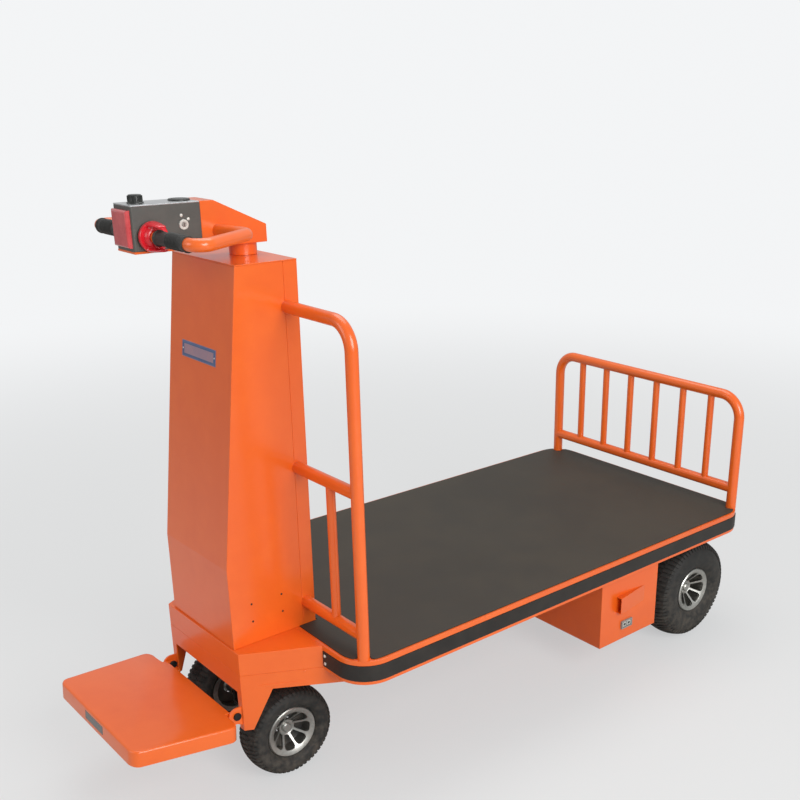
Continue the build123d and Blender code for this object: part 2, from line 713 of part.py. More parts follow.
def tyre(outer_r, width, ring_r):
    """Round shouldered tyre on the rim's seat, between its flanges."""
    bead = width / 2 - RIM_INSET - FLANGE_THICKNESS
    seat = ring_r - FLANGE_HEIGHT + TYRE_SEAT_FIT
    half = width / 2
    lip_r = ring_r + TYRE_LIP
    wall = outer_r - ring_r
    belly_r = ring_r + wall * TYRE_BELLY_SHARE
    shoulder_r = outer_r - wall * TYRE_SHOULDER_DROP
    shoulder = half * TYRE_SHOULDER_SHARE
    wall_arc = ThreePointArc((lip_r, bead), (belly_r, half), (shoulder_r, shoulder))
    tread_arc = ThreePointArc((shoulder_r, shoulder), (outer_r, 0), (shoulder_r, -shoulder))
    wall_points = stations(wall_arc, TYRE_WALL_BANDS)
    tread_points = stations(tread_arc, TYRE_TREAD_BANDS)
    other_wall = [(r, -y) for r, y in reversed(wall_points)]
    return spun([(seat, bead)] + wall_points + tread_points[1:-1] + other_wall + [(seat, -bead)])


def stations(arc, count):
    """Even stations along an arc of a section, as (radius, y). Their cones keep the tyre light."""
    places = [arc @ (i / count) for i in range(count + 1)]
    return [(place.X, place.Y) for place in places]


def placed_wheel(shape, x, z, track_half, s):
    """Set a wheel piece at its axle, its outer face away from the cart."""
    shape = shape if s > 0 else mirrored(shape)
    return Pos(x, s * track_half, z) * shape


def hub_face(tyre_width):
    """Height of the hub's outer face over the wheel's middle plane."""
    return tyre_width / 2 - RIM_INSET - HUB_RECESS


def front_rim():
    inner = KNUCKLE_FACE_Y + KNUCKLE_PLATE_T + HUB_SIDE_GAP - FRONT_TRACK_HALF
    return rim(FRONT_RING_R, FRONT_TYRE_WIDTH, inner, FRONT_SPINDLE_R + SHAFT_FIT)


def rear_rim():
    inner = AXLE_TUBE_HALF + HUB_SIDE_GAP - REAR_TRACK_HALF
    return rim(REAR_RING_R, REAR_TYRE_WIDTH, inner, REAR_SPINDLE_R + SHAFT_FIT)


def spindle_end(track_half, tyre_width):
    """Distance of a spindle's end from the cart's middle."""
    return track_half + hub_face(tyre_width) - BORE_END - SPINDLE_END_GAP


def front_beam():
    """Cross beam with an upright barrel for the king pin at each end."""
    half_x = BEAM_WIDTH / 2
    half_z = BEAM_HEIGHT / 2
    x = (FRONT_WHEEL_X - half_x, FRONT_WHEEL_X + half_x)
    beam = block(*x, -KINGPIN_Y, KINGPIN_Y, BEAM_Z - half_z, BEAM_Z + half_z)
    for s in (-1, 1):
        y = s * KINGPIN_Y
        z = (BEAM_Z - BARREL_HALF_H, BEAM_Z + BARREL_HALF_H)
        beam -= block(*x, *sorted((y, y - s * BARREL_R)), *z)
        beam += block(FRONT_WHEEL_X - BARREL_R, FRONT_WHEEL_X + BARREL_R, *sorted((y, y - s * BARREL_R)), *z)
        beam += post(FRONT_WHEEL_X, y, BARREL_R, *z)
        beam -= post(FRONT_WHEEL_X, y, KINGPIN_R + STEER_FIT, *z)
    return beam


def axle_pedestal():
    """Two upright plates from the bearing plate down to the beam."""
    half = PEDESTAL_LENGTH / 2
    x = (FRONT_WHEEL_X - half, FRONT_WHEEL_X + half)
    z = (BEAM_Z + BEAM_HEIGHT / 2, BEARING_PLATE_Z)
    t = PEDESTAL_SHEET
    pedestal = block(*x, -PEDESTAL_Y, PEDESTAL_Y, z[0], z[0] + t)
    for y in (-PEDESTAL_Y, PEDESTAL_Y - t):
        pedestal += block(*x, y, y + t, *z)
    return pedestal


def knuckle(s):
    """Fork round the beam's barrel, with king pin, wheel spindle and steering arm."""
    x = FRONT_WHEEL_X
    y = s * KINGPIN_Y
    face = s * KNUCKLE_FACE_Y
    back = s * (KNUCKLE_FACE_Y + KNUCKLE_PLATE_T)
    low = BEAM_Z - BARREL_HALF_H - LUG_GAP
    body = block(
        x - KNUCKLE_PLATE_HALF,
        x + KNUCKLE_PLATE_HALF,
        *sorted((face, back)),
        low - LUG_THICKNESS,
        ARM_TOP,
    )
    for z0 in (low - LUG_THICKNESS, LUG_Z):
        body += post(x, y, KNUCKLE_PLATE_HALF, z0, z0 + LUG_THICKNESS)
        body += block(
            x - KNUCKLE_PLATE_HALF,
            x + KNUCKLE_PLATE_HALF,
            *sorted((y, face)),
            z0,
            z0 + LUG_THICKNESS,
        )
    body += post(x, y, KINGPIN_R, low - LUG_THICKNESS, ARM_TOP)
    half = ARM_WIDTH / 2
    body += block(x, x + ARM_LENGTH, y - half, y + half, LUG_Z, ARM_TOP)
    body += post(x + ARM_LENGTH, y, half, LUG_Z, ARM_TOP)
    top = ARM_TOP + LINK_GAP + LINK_HEIGHT if s < 0 else ARM_TOP
    body += post(x + ARM_LENGTH, y, LINK_PIN_R, LUG_Z - LINK_GAP - LINK_HEIGHT, top)
    spindle = s * spindle_end(FRONT_TRACK_HALF, FRONT_TYRE_WIDTH)
    return body + rod_y(x, BEAM_Z, FRONT_SPINDLE_R, *sorted((back, spindle)))


def link(start, end, z0, fits):
    """Flat steering link between two pivots, with a bore for each pin."""
    (x0, y0), (x1, y1) = start, end
    length = hypot(x1 - x0, y1 - y0)
    turn = degrees(atan2(y1 - y0, x1 - x0))
    bar = Box(length, LINK_WIDTH, LINK_HEIGHT)
    middle = ((x0 + x1) / 2, (y0 + y1) / 2, z0 + LINK_HEIGHT / 2)
    body = Pos(*middle) * Rot(0, 0, turn) * bar
    for (x, y), fit in zip((start, end), fits):
        body += post(x, y, LINK_EYE_R, z0, z0 + LINK_HEIGHT)
        body -= post(x, y, LINK_PIN_R + fit, z0, z0 + LINK_HEIGHT)
    return body


def arm_end(s):
    return (FRONT_WHEEL_X + ARM_LENGTH, s * KINGPIN_Y)


def tie_rod():
    z = LUG_Z - LINK_GAP - LINK_HEIGHT
    return link(arm_end(-1), arm_end(1), z, (STEER_FIT, OPEN_PIVOT_FIT))


def drag_link():
    start = (STEER_X + ARM_LENGTH, 0)
    return link(start, arm_end(-1), ARM_TOP + LINK_GAP, (STEER_FIT, OPEN_PIVOT_FIT))


def steering_shaft():
    """Shaft with collar above the lid and drop arm below the bearing plate."""
    arm_z = ARM_TOP + 2 * LINK_GAP + LINK_HEIGHT
    shaft = post(STEER_X, 0, STEER_SHAFT_R, arm_z, HEAD_FLOOR_Z)
    shaft += post(STEER_X, 0, COLLAR_R, COLUMN_TOP_Z + COLLAR_LID_GAP, HEAD_FLOOR_Z)
    half = ARM_WIDTH / 2
    end_x = STEER_X + ARM_LENGTH
    shaft += block(STEER_X, end_x, -half, half, arm_z, arm_z + LUG_THICKNESS)
    shaft += post(end_x, 0, half, arm_z, arm_z + LUG_THICKNESS)
    return shaft + post(end_x, 0, LINK_PIN_R, arm_z - LINK_GAP - LINK_HEIGHT, arm_z)


def rear_axle():
    """Axle tube with a reduction gear case and a spindle for each wheel."""
    x = REAR_WHEEL_X
    z = REAR_TYRE_R
    axle = rod_y(x, z, AXLE_TUBE_R, -AXLE_TUBE_HALF, AXLE_TUBE_HALF)
    y = (GEARBOX_Y - GEARBOX_WIDTH / 2, GEARBOX_Y + GEARBOX_WIDTH / 2)
    axle += rod_y(x, z, GEARBOX_R, *y)
    axle += rod_y(MOTOR_X, MOTOR_Z, PINION_CASE_R, *y)
    reach = spindle_end(REAR_TRACK_HALF, REAR_TYRE_WIDTH)
    return axle + rod_y(x, z, REAR_SPINDLE_R, -reach, reach)


def drive_motor():
    y0 = GEARBOX_Y + GEARBOX_WIDTH / 2
    return rod_y(MOTOR_X, MOTOR_Z, MOTOR_R, y0, y0 + MOTOR_LENGTH)


def axle_hanger():
    """Right hand plate from the frame rail down to the axle tube."""
    half = HANGER_LENGTH / 2
    x = (REAR_WHEEL_X - half, REAR_WHEEL_X + half)
    rail = -FRAME_RAIL_Y + FRAME_BAR_WIDTH / 2
    foot = REAR_TYRE_R - AXLE_TUBE_R - HANGER_FOOT
    plate = block(*x, rail - HANGER_SHEET, rail, foot, FRAME_BOTTOM)
    return plate - rod_y(REAR_WHEEL_X, REAR_TYRE_R, AXLE_TUBE_R, rail - HANGER_SHEET, rail)


def tiller_bracket():
    """Folded bracket: floor under the whole head and a hooded rear part."""
    profile = [
        (HEAD_SPLIT_X, HEAD_BASE_Z),
        (HEAD_SPLIT_X, HEAD_TOP_Z),
        (BRACKET_CREST_X, HEAD_TOP_Z),
        (BRACKET_REAR_X, BRACKET_REAR_Z),
        (BRACKET_REAR_X, HEAD_BASE_Z),
    ]
    t = BRACKET_SHEET
    hollow = [
        (HEAD_SPLIT_X, HEAD_BASE_Z),
        (HEAD_SPLIT_X, HEAD_TOP_Z - t),
        (BRACKET_CREST_X, HEAD_TOP_Z - t),
        (BRACKET_REAR_X - t, BRACKET_REAR_Z - t),
        (BRACKET_REAR_X - t, HEAD_BASE_Z),
    ]
    hood = side_prism(profile, -HEAD_HALF, HEAD_HALF)
    hood -= side_prism(hollow, -HEAD_HALF + t, HEAD_HALF - t)
    floor = block(HEAD_FRONT_X, BRACKET_REAR_X, -HEAD_HALF, HEAD_HALF, HEAD_FLOOR_Z, HEAD_BASE_Z)
    return hood + floor


def head_box():
    x = (HEAD_FRONT_X, HEAD_SPLIT_X)
    box = block(*x, -HEAD_HALF, HEAD_HALF, HEAD_BASE_Z, BOX_TOP_Z)
    return fillet(box.edges().filter_by(Axis.Z).group_by(Axis.X)[0], HEAD_CORNER_R)


def head_panel():
    x = (HEAD_FRONT_X, HEAD_SPLIT_X)
    panel = block(*x, -HEAD_HALF, HEAD_HALF, BOX_TOP_Z, HEAD_TOP_Z)
    return fillet(panel.edges().filter_by(Axis.Z).group_by(Axis.X)[0], HEAD_CORNER_R)


def belly_switch():
    """Pad on the head's front that stops the cart when it meets the operator."""
    half = HEAD_HALF - BELLY_SIDE_MARGIN
    z = (HEAD_BASE_Z + BELLY_END_MARGIN, BOX_TOP_Z - BELLY_END_MARGIN)
    pad = block(HEAD_FRONT_X - BELLY_DEPTH, HEAD_FRONT_X, -half, half, *z)
    return fillet(pad.edges().group_by(Axis.X)[0], BELLY_CORNER_R)


def head_controls():
    """Turn knob and flat push button on the head's top, and the key switch on its side."""
    knob = post(KNOB_X, 0, KNOB_R, HEAD_TOP_Z, HEAD_TOP_Z + KNOB_H)
    button = post(BUTTON_X, 0, BUTTON_R, HEAD_TOP_Z, HEAD_TOP_Z + BUTTON_H)
    key_switch = rod_y(KEY_X, KEY_Z, KEY_R, -HEAD_HALF - KEY_H, -HEAD_HALF)
    return Compound([knob, button, key_switch])


def handle_bar():
    """Right hand loop from the bracket's cheek out, forward and in to the box."""
    z = HANDLE_Z
    path = [
        (HANDLE_ROOT_X, -HEAD_HALF + HANDLE_R, z),
        (HANDLE_ELBOW_X, -HANDLE_ELBOW_Y, z),
        (HANDLE_GRIP_X, -HANDLE_GRIP_Y, z),
        (HANDLE_GRIP_X, -HEAD_HALF, z),
    ]
    cheek = block(HEAD_FRONT_X, BRACKET_REAR_X, -HEAD_HALF, 0, z - HANDLE_R, z + HANDLE_R)
    return pipe(path, HANDLE_BEND_R, HANDLE_R) - cheek


def grip():
    """Sleeve on the handle's cross run, ending short of the bend."""
    run_x = HANDLE_ELBOW_X - HANDLE_GRIP_X
    run_y = HANDLE_GRIP_Y - HANDLE_ELBOW_Y
    half_turn = (radians(180) - atan2(run_x, run_y)) / 2
    outer = HANDLE_GRIP_Y - HANDLE_BEND_R * tan(half_turn) - GRIP_END_GAP
    y = (-outer, -GRIP_INNER_Y)
    sleeve = rod_y(HANDLE_GRIP_X, HANDLE_Z, GRIP_R, *y)
    return sleeve - rod_y(HANDLE_GRIP_X, HANDLE_Z, HANDLE_R + GRIP_FIT, *y)


def throttle():
    y1 = -THROTTLE_INNER_Y
    y0 = y1 - THROTTLE_WIDTH
    disc = rod_y(HANDLE_GRIP_X, HANDLE_Z, THROTTLE_R, y0, y1)
    disc = chamfer(disc.edges().filter_by(GeomType.CIRCLE), THROTTLE_BEVEL)
    return disc - rod_y(HANDLE_GRIP_X, HANDLE_Z, HANDLE_R + GRIP_FIT, y0, y1)


def step_local(shape):
    """Turn a level step piece to the slope that it has when it is down."""
    tilt = Pos(STEP_PIVOT_X, 0, STEP_PIVOT_Z) * Rot(0, STEP_SLOPE, 0) * Pos(-STEP_PIVOT_X, 0, -STEP_PIVOT_Z)
    return tilt * shape


def step_outline(inset):
    x0 = STEP_FRONT_X + inset
    x1 = STEP_REAR_X - inset
    front = STEP_FRONT_HALF - inset
    rear = STEP_REAR_HALF - inset
    return [(x0, -front), (x1, -rear), (x1, rear), (x0, front)]


def step_plate():
    """Folded tread pan with its hinge arms and, behind them, the heels that it rests on."""
    plate = prism(step_outline(0), STEP_BOTTOM_Z, STEP_TOP_Z)
    plate = fillet(plate.edges().filter_by(Axis.Z), STEP_CORNER_R)
    inside = prism(step_outline(STEP_SHEET), STEP_BOTTOM_Z, STEP_TOP_Z - STEP_SHEET)
    inside = fillet(inside.edges().filter_by(Axis.Z), STEP_CORNER_R - STEP_SHEET)
    plate -= inside
    plate -= step_slot(STEP_SHEET)
    x = (STEP_REAR_X, STEP_REAR_X + STEP_TONGUE)
    plate += block(*x, -STEP_ARM_Y, STEP_ARM_Y, STEP_TOP_Z - STEP_SHEET, STEP_TOP_Z)
    for s in (-1, 1):
        plate += step_arm(s)
    plate = step_local(plate)
    for s in (-1, 1):
        plate += step_heel(s)
    return plate


def step_slot(depth):
    z = (STEP_BOTTOM_Z + STEP_TOP_Z) / 2
    half = STEP_SLOT_WIDTH / 2
    x = (STEP_FRONT_X, STEP_FRONT_X + depth)
    return block(*x, -half, half, z - STEP_SLOT_HEIGHT / 2, z + STEP_SLOT_HEIGHT / 2)


def step_arm(s):
    """Hinge arm behind the plate, round at its bolt."""
    y = sorted((s * STEP_ARM_Y, s * (STEP_ARM_Y - STEP_ARM_T)))
    arm = block(STEP_REAR_X, STEP_PIVOT_X, *y, STEP_BOTTOM_Z, STEP_TOP_Z)
    arm += rod_y(STEP_PIVOT_X, STEP_PIVOT_Z, STEP_TOP_RISE, *y)
    return arm - rod_y(STEP_PIVOT_X, STEP_PIVOT_Z, STEP_PIN_R + STEP_PIN_FIT, *y)


def step_heel(s):
    """Stop behind the arm's foot that rests on the base's front wall."""
    y = sorted((s * STEP_ARM_Y, s * (STEP_ARM_Y - STEP_ARM_T)))
    z = (STEP_BOTTOM_Z, STEP_BOTTOM_Z + STEP_HEEL_H)
    return block(STEP_PIVOT_X - STEP_TONGUE, BASE_FRONT_X - STEP_HEEL_GAP, *y, *z)


def step_lamp():
    """Insert that closes the slot in the step's front edge."""
    return step_local(step_slot(STEP_LAMP_DEPTH))


def step_pin(s):
    """Pivot bolt: head outside the ear, nut inside the arm."""
    x = STEP_PIVOT_X
    z = STEP_PIVOT_Z
    outer = EAR_Y + EAR_SHEET
    inner = STEP_ARM_Y - STEP_ARM_T - STEP_HEEL_GAP
    pin = rod_y(x, z, STEP_PIN_R, *sorted((s * (outer + STEP_HEAD_H), s * (inner - STEP_HEAD_H))))
    pin += rod_y(x, z, STEP_HEAD_R, *sorted((s * outer, s * (outer + STEP_HEAD_H))))
    return pin + rod_y(x, z, STEP_HEAD_R, *sorted((s * inner, s * (inner - STEP_HEAD_H))))


def build():
    parts = {
        "deck_pan": deck_pan(),
        "deck_rails": deck_rails(),
        "deck_crossbars": deck_crossbars(),
        "deck_mat": deck_mat(),
        "edge_bumper": edge_bumper(),
        "base_shell": base_shell(),
        "base_cap": base_cap(),
        "bearing_plate": bearing_plate(),
        "column_cover": column_cover(),
        "column_channel": column_channel(),
        "column_lid": column_lid(),
        "front_rail_right": front_rail(),
        "front_rail_left": mirrored(front_rail()),
        "rear_guard": rear_guard(),
        "battery_box": battery_box(),
        "battery_pack": battery_pack(),
        "vent_hood": vent_hood(),
        "charge_socket": charge_socket(),
        "front_beam": front_beam(),
        "axle_pedestal": axle_pedestal(),
        "rear_axle": rear_axle(),
        "drive_motor": drive_motor(),
        "axle_hangers": both(axle_hanger()),
        "steering_shaft": steering_shaft(),
        "tiller_bracket": tiller_bracket(),
        "head_box": head_box(),
        "head_panel": head_panel(),
        "belly_switch": belly_switch(),
        "head_controls": head_controls(),
        "handle_bars": both(handle_bar()),
        "grips": both(grip()),
        "throttles": both(throttle()),
        "tie_rod": tie_rod(),
        "drag_link": drag_link(),
        "step_plate": step_plate(),
        "step_lamp": step_lamp(),
        "step_pins": both(step_pin(-1)),
    }
    for side, s in SIDES:
        parts["knuckle_" + side] = knuckle(s)
        front = (FRONT_WHEEL_X, FRONT_TYRE_R, FRONT_TRACK_HALF, s)
        parts["front_rim_" + side] = placed_wheel(front_rim(), *front)
        front_tyre = tyre(FRONT_TYRE_R, FRONT_TYRE_WIDTH, FRONT_RING_R)
        parts["front_tyre_" + side] = placed_wheel(front_tyre, *front)
        rear = (REAR_WHEEL_X, REAR_TYRE_R, REAR_TRACK_HALF, s)
        parts["rear_rim_" + side] = placed_wheel(rear_rim(), *rear)
        rear_tyre = tyre(REAR_TYRE_R, REAR_TYRE_WIDTH, REAR_RING_R)
        parts["rear_tyre_" + side] = placed_wheel(rear_tyre, *rear)
    return parts


PARTS = build()
FOOTPRINT = Compound(list(PARTS.values())).bounding_box()
ORIGIN_X = (FOOTPRINT.min.X + FOOTPRINT.max.X) / 2

os.makedirs("parts", exist_ok=True)
for name, shape in PARTS.items():
    export_step(Pos(-ORIGIN_X, 0, 0) * shape, f"parts/{name}.step")
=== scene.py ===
# %% [markdown]
# # An electric platform cart, dressed for its picture
# A warehouse cart carries pallets' worth of boxes at walking pace. Its sheet metal, tubes, wheels
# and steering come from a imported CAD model. This notebook gives each of them its real finish and
# adds what a CAD model leaves out: the tread of the tyres, the ribs of the grips, the screws, the
# blank nameplate. All lengths are metres, in the frame of the CAD model, with Z up from the floor.

# %% Load the frame
import json
from math import atan2, copysign, cos, hypot, pi, radians, sin

import bmesh
import bpy
from mathutils import Matrix, Vector


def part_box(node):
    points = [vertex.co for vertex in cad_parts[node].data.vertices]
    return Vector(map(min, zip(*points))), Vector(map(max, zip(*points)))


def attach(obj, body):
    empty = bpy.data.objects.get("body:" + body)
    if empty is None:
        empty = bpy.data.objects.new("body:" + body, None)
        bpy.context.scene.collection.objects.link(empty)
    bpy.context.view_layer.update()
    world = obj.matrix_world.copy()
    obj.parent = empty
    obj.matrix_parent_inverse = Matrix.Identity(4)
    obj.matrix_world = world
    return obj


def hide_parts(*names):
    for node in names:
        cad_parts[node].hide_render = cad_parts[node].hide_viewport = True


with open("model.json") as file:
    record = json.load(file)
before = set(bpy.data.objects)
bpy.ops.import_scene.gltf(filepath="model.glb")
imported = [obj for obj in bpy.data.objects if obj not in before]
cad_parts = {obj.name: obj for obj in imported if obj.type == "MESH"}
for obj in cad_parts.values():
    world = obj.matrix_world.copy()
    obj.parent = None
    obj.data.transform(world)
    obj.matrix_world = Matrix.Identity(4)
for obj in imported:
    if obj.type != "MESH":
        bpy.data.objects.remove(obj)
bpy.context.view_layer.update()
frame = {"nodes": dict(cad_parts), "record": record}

MM = 0.001
SCENE = bpy.context.scene

# %% [markdown]
# ## The camera
# The picture was taken from the operator's side at about head height. The numbers come from
# matching corners of the model to the photograph: a focal length in pixels, the point where the
# lens axis meets the picture, and the direction of view. The lens axis is off the picture's middle
# because the picture was cropped, and the camera's shift says so.

# %% Camera
PICTURE = 800.0
FOCAL_PIXELS = 1058.29
AXIS_PIXEL = (470.78, 496.31)
YAW, PITCH, ROLL = 0.724049, 0.369573, 0.001525
EYE = Vector((-1.76771, -2.21839, 1.67020))
SENSOR = 36.0

ahead = Vector((sin(YAW) * cos(PITCH), cos(YAW) * cos(PITCH), -sin(PITCH)))
level = Vector((cos(YAW), -sin(YAW), 0))
over = level.cross(ahead)
side = cos(ROLL) * level + sin(ROLL) * over
top = cos(ROLL) * over - sin(ROLL) * level

lens = bpy.data.cameras.new("camera")
lens.sensor_width = SENSOR
lens.lens = SENSOR * FOCAL_PIXELS / PICTURE
lens.shift_x = (PICTURE / 2 - AXIS_PIXEL[0]) / PICTURE
lens.shift_y = (AXIS_PIXEL[1] - PICTURE / 2) / PICTURE
camera = bpy.data.objects.new("camera", lens)
camera.matrix_world = Matrix((side, top, -ahead)).transposed().to_4x4()
camera.location = EYE
SCENE.collection.objects.link(camera)
SCENE.camera = camera
print("lens %.1f mm, %.0f degrees down" % (lens.lens, PITCH * 180 / pi))

# %% [markdown]
# ## Writing nodes as sums
# A shader is a web of nodes. Placed one by one, they hide the sum that they work out. Here one
# small class wraps a socket, so that `noise * 0.2 + 0.3` adds the two Math nodes by itself. Its
# `node` method adds any other kind: first its settings, then the values or links of its inputs.
# The same class serves shaders and Geometry Nodes, because both are trees of nodes.

# %% The wire class
class Wire:
    """A socket in a node tree. Arithmetic on it adds Math nodes."""

    def __init__(self, tree, socket=None):
        self.tree = tree
        self.socket = socket

    def node(self, kind, inputs=None, settings=None, out=0):
        made = self.tree.nodes.new(kind)
        for key, value in (settings or {}).items():
            setattr(made, key, value)
        for key, value in (inputs or {}).items():
            if isinstance(value, Wire):
                self.tree.links.new(value.socket, made.inputs[key])
            else:
                made.inputs[key].default_value = value
        return Wire(self.tree, made.outputs[out])

    def calc(self, operation, *values):
        return self.node("ShaderNodeMath", dict(enumerate(values)), {"operation": operation})

    def __add__(self, other):
        return self.calc("ADD", self, other)

    def __sub__(self, other):
        return self.calc("SUBTRACT", self, other)

    def __rsub__(self, other):
        return self.calc("SUBTRACT", other, self)

    def __mul__(self, other):
        return self.calc("MULTIPLY", self, other)

    def __truediv__(self, other):
        return self.calc("DIVIDE", self, other)

    __radd__ = __add__
    __rmul__ = __mul__


def srgb(red, green, blue):
    """A colour as a paint program gives it, 0 to 255, as the linear colour that shaders use."""
    parts = [v / 255 for v in (red, green, blue)]
    return tuple(v / 12.92 if v <= 0.04045 else ((v + 0.055) / 1.055) ** 2.4 for v in parts) + (1,)


print("orange paint is", [round(v, 3) for v in srgb(241, 106, 28)])

# %% [markdown]
# ## A finish in one call
# Every finish on this cart has the same plan: a base colour that drifts a little from place to
# place, a roughness that drifts with it, and a fine bump. Dust settles low down, so the colour
# also moves towards a dust grey near the floor. All patterns read Object coordinates. The pieces
# sit at the origin, so these are plain metres, and the pattern stays put when a piece is turned.

# %% Helpers for finishes
DUST = srgb(122, 112, 100)
FINE = 9                    # the fine noise's scale, as a multiple of the broad one's
BROAD_SHARE = 0.65          # the broad noise's part in the tint, where the fine one has the rest
TINT_BAND = (0.38, 0.62)    # noise over which one colour turns into the other
DUST_BAND = (0.35, 0.7)     # fine noise over which dust settles
DUST_LOW = 0.02             # the dust is full below this height
DUST_DULLS = 0.5            # what full dust adds to the roughness
COAT_ROUGHNESS = 0.16


def noise(wire, place, scale, detail, rough=0.55):
    """Soft noise at so many lumps a metre, about 0 to 1."""
    inputs = {"Vector": place, "Scale": scale, "Detail": detail, "Roughness": rough}
    return wire.node("ShaderNodeTexNoise", inputs)


def blend_colour(wire, share, first, second):
    inputs = {0: share, 6: first, 7: second}
    return wire.node("ShaderNodeMix", inputs, {"data_type": "RGBA"}, out=2)


def between(wire, value, low, high):
    """0 below low, 1 above high, smooth between."""
    inputs = {"Value": value, "From Min": low, "From Max": high}
    settings = {"interpolation_type": "SMOOTHSTEP"}
    return wire.node("ShaderNodeMapRange", inputs, settings)


def finish(name, colour, other, rough, spread=0.08, metal=0.0, coat=0.0, drift=1.6,
           grain=400.0, grain_height=0.00005, cells=False, dust=0.25, dust_top=0.35, specular=0.5):
    """A material: two close colours, a roughness with some spread, fine grain and dust low down."""
    material = bpy.data.materials.new(name)
    material.use_nodes = True
    shader = material.node_tree.nodes["Principled BSDF"]
    wire = Wire(material.node_tree)
    place = wire.node("ShaderNodeTexCoord", out=3)
    height = wire.node("ShaderNodeSeparateXYZ", {0: place}, out=2)

    broad = noise(wire, place, drift, 4.0)
    fine = noise(wire, place, drift * FINE, 5.0, 0.6)
    tint = between(wire, broad * BROAD_SHARE + fine * (1 - BROAD_SHARE), *TINT_BAND)
    colours = blend_colour(wire, tint, srgb(*colour), srgb(*other))
    low_down = 1 - between(wire, height, DUST_LOW, dust_top)
    settled = low_down * between(wire, fine, *DUST_BAND) * dust
    colours = blend_colour(wire, settled, colours, DUST)
    roughness = (fine - 0.5) * spread + settled * DUST_DULLS + rough

    if cells:
        inputs = {"Vector": place, "Scale": grain}
        lumps = wire.node("ShaderNodeTexVoronoi", inputs)
    else:
        lumps = noise(wire, place, grain, 2.0)
    bump = wire.node("ShaderNodeBump", {"Height": lumps, "Strength": 1.0, "Distance": grain_height})

    material.node_tree.links.new(colours.socket, shader.inputs["Base Color"])
    material.node_tree.links.new(roughness.socket, shader.inputs["Roughness"])
    material.node_tree.links.new(bump.socket, shader.inputs["Normal"])
    shader.inputs["Metallic"].default_value = metal
    shader.inputs["Coat Weight"].default_value = coat
    shader.inputs["Coat Roughness"].default_value = COAT_ROUGHNESS
    shader.inputs["Specular IOR Level"].default_value = specular
    return material


# %% [markdown]
# ## The finishes
# The sheet metal and tubes wear a glossy orange enamel: an even colour under a clear coat, with
# the faint orange-peel ripple of sprayed paint. The deck's mat is a brown-black rubber sheet with
# a fine pebble. Tyres, bumper strip and grips are three other rubbers. The wheels are cast
# aluminium, the head is a grey moulded housing with a satin metal top, and the levers are red
# plastic.

# %% Finishes
FINISH = {
    "paint": finish("orange_enamel", (241, 106, 28), (235, 98, 24), 0.30, 0.06, coat=0.45,
                    grain=230.0, grain_height=0.00002, dust=0.08, dust_top=0.25),
    "mat": finish("pebbled_mat", (58, 53, 46), (67, 61, 52), 0.60, 0.14, drift=1.3,
                  grain=650.0, grain_height=0.0002, cells=True, dust=0.0, specular=0.3),
    "bumper": finish("bumper_rubber", (38, 35, 33), (46, 43, 40), 0.5, 0.12, grain=500.0,
                     dust=0.10, dust_top=0.6, specular=0.3),
    "tyre": finish("tyre_rubber", (38, 38, 37), (50, 49, 47), 0.62, 0.12, drift=7.0,
                   grain=700.0, grain_height=0.00012, dust=0.28, dust_top=0.33, specular=0.3),
    "rim": finish("cast_aluminium", (196, 195, 189), (168, 168, 164), 0.36, 0.10, metal=1.0,
                  drift=12.0, grain=320.0, grain_height=0.00004, dust=0.12),
    "black": finish("black_satin_paint", (30, 30, 30), (40, 39, 38), 0.42, 0.12, coat=0.15,
                    dust=0.35, dust_top=0.5),
    "steel": finish("bright_steel", (178, 178, 174), (150, 150, 148), 0.34, 0.14, metal=1.0,
                    drift=18.0, grain=500.0, dust=0.2),
    "blackbolt": finish("black_oxide_steel", (34, 34, 35), (48, 47, 46), 0.38, 0.14, metal=0.6,
                        drift=30.0, dust=0.1),
    "housing": finish("grey_moulded_housing", (88, 87, 82), (80, 79, 75), 0.40, 0.06, drift=5.0,
                      grain=1500.0, grain_height=0.00006, cells=True, dust=0.0),
    "panel": finish("satin_metal_panel", (196, 198, 200), (206, 207, 208), 0.30, 0.08, metal=0.8,
                    drift=14.0, grain=900.0, dust=0.0),
    "knob": finish("dark_moulded_plastic", (42, 44, 42), (52, 54, 52), 0.30, 0.08, drift=20.0,
                   grain=1200.0, dust=0.0),
    "grip": finish("grip_rubber", (38, 38, 36), (50, 49, 46), 0.55, 0.10, drift=15.0,
                   grain=1400.0, grain_height=0.00008, cells=True, dust=0.0),
    "red": finish("red_lever_plastic", (222, 32, 46), (208, 24, 38), 0.26, 0.06, coat=0.3,
                  drift=20.0, grain=900.0, grain_height=0.00003, dust=0.0),
    "belly": finish("clear_red_pad", (214, 84, 86), (200, 66, 70), 0.16, 0.05, coat=0.8,
                    drift=16.0, grain=700.0, grain_height=0.00002, dust=0.0),
    "plate": finish("blank_plate_metal", (190, 150, 160), (176, 146, 162), 0.34, 0.10, metal=0.5,
                    drift=30.0, grain=1200.0, dust=0.0),
    "blue": finish("blue_plate_border", (92, 112, 150), (82, 100, 140), 0.36, 0.08, metal=0.3,
                   drift=30.0, dust=0.0),
    "white": finish("white_metal_badge", (226, 224, 216), (212, 210, 204), 0.30, 0.08, metal=0.2,
                    drift=30.0, dust=0.0),
    "socket": finish("grey_socket_frame", (148, 150, 146), (134, 136, 134), 0.42, 0.08, drift=22.0,
                     dust=0.1),
    "lamp": finish("smoked_lamp_cover", (40, 36, 36), (50, 42, 42), 0.18, 0.04, coat=0.6,
                   drift=20.0, dust=0.15, dust_top=0.4),
}
print(len(FINISH), "finishes")

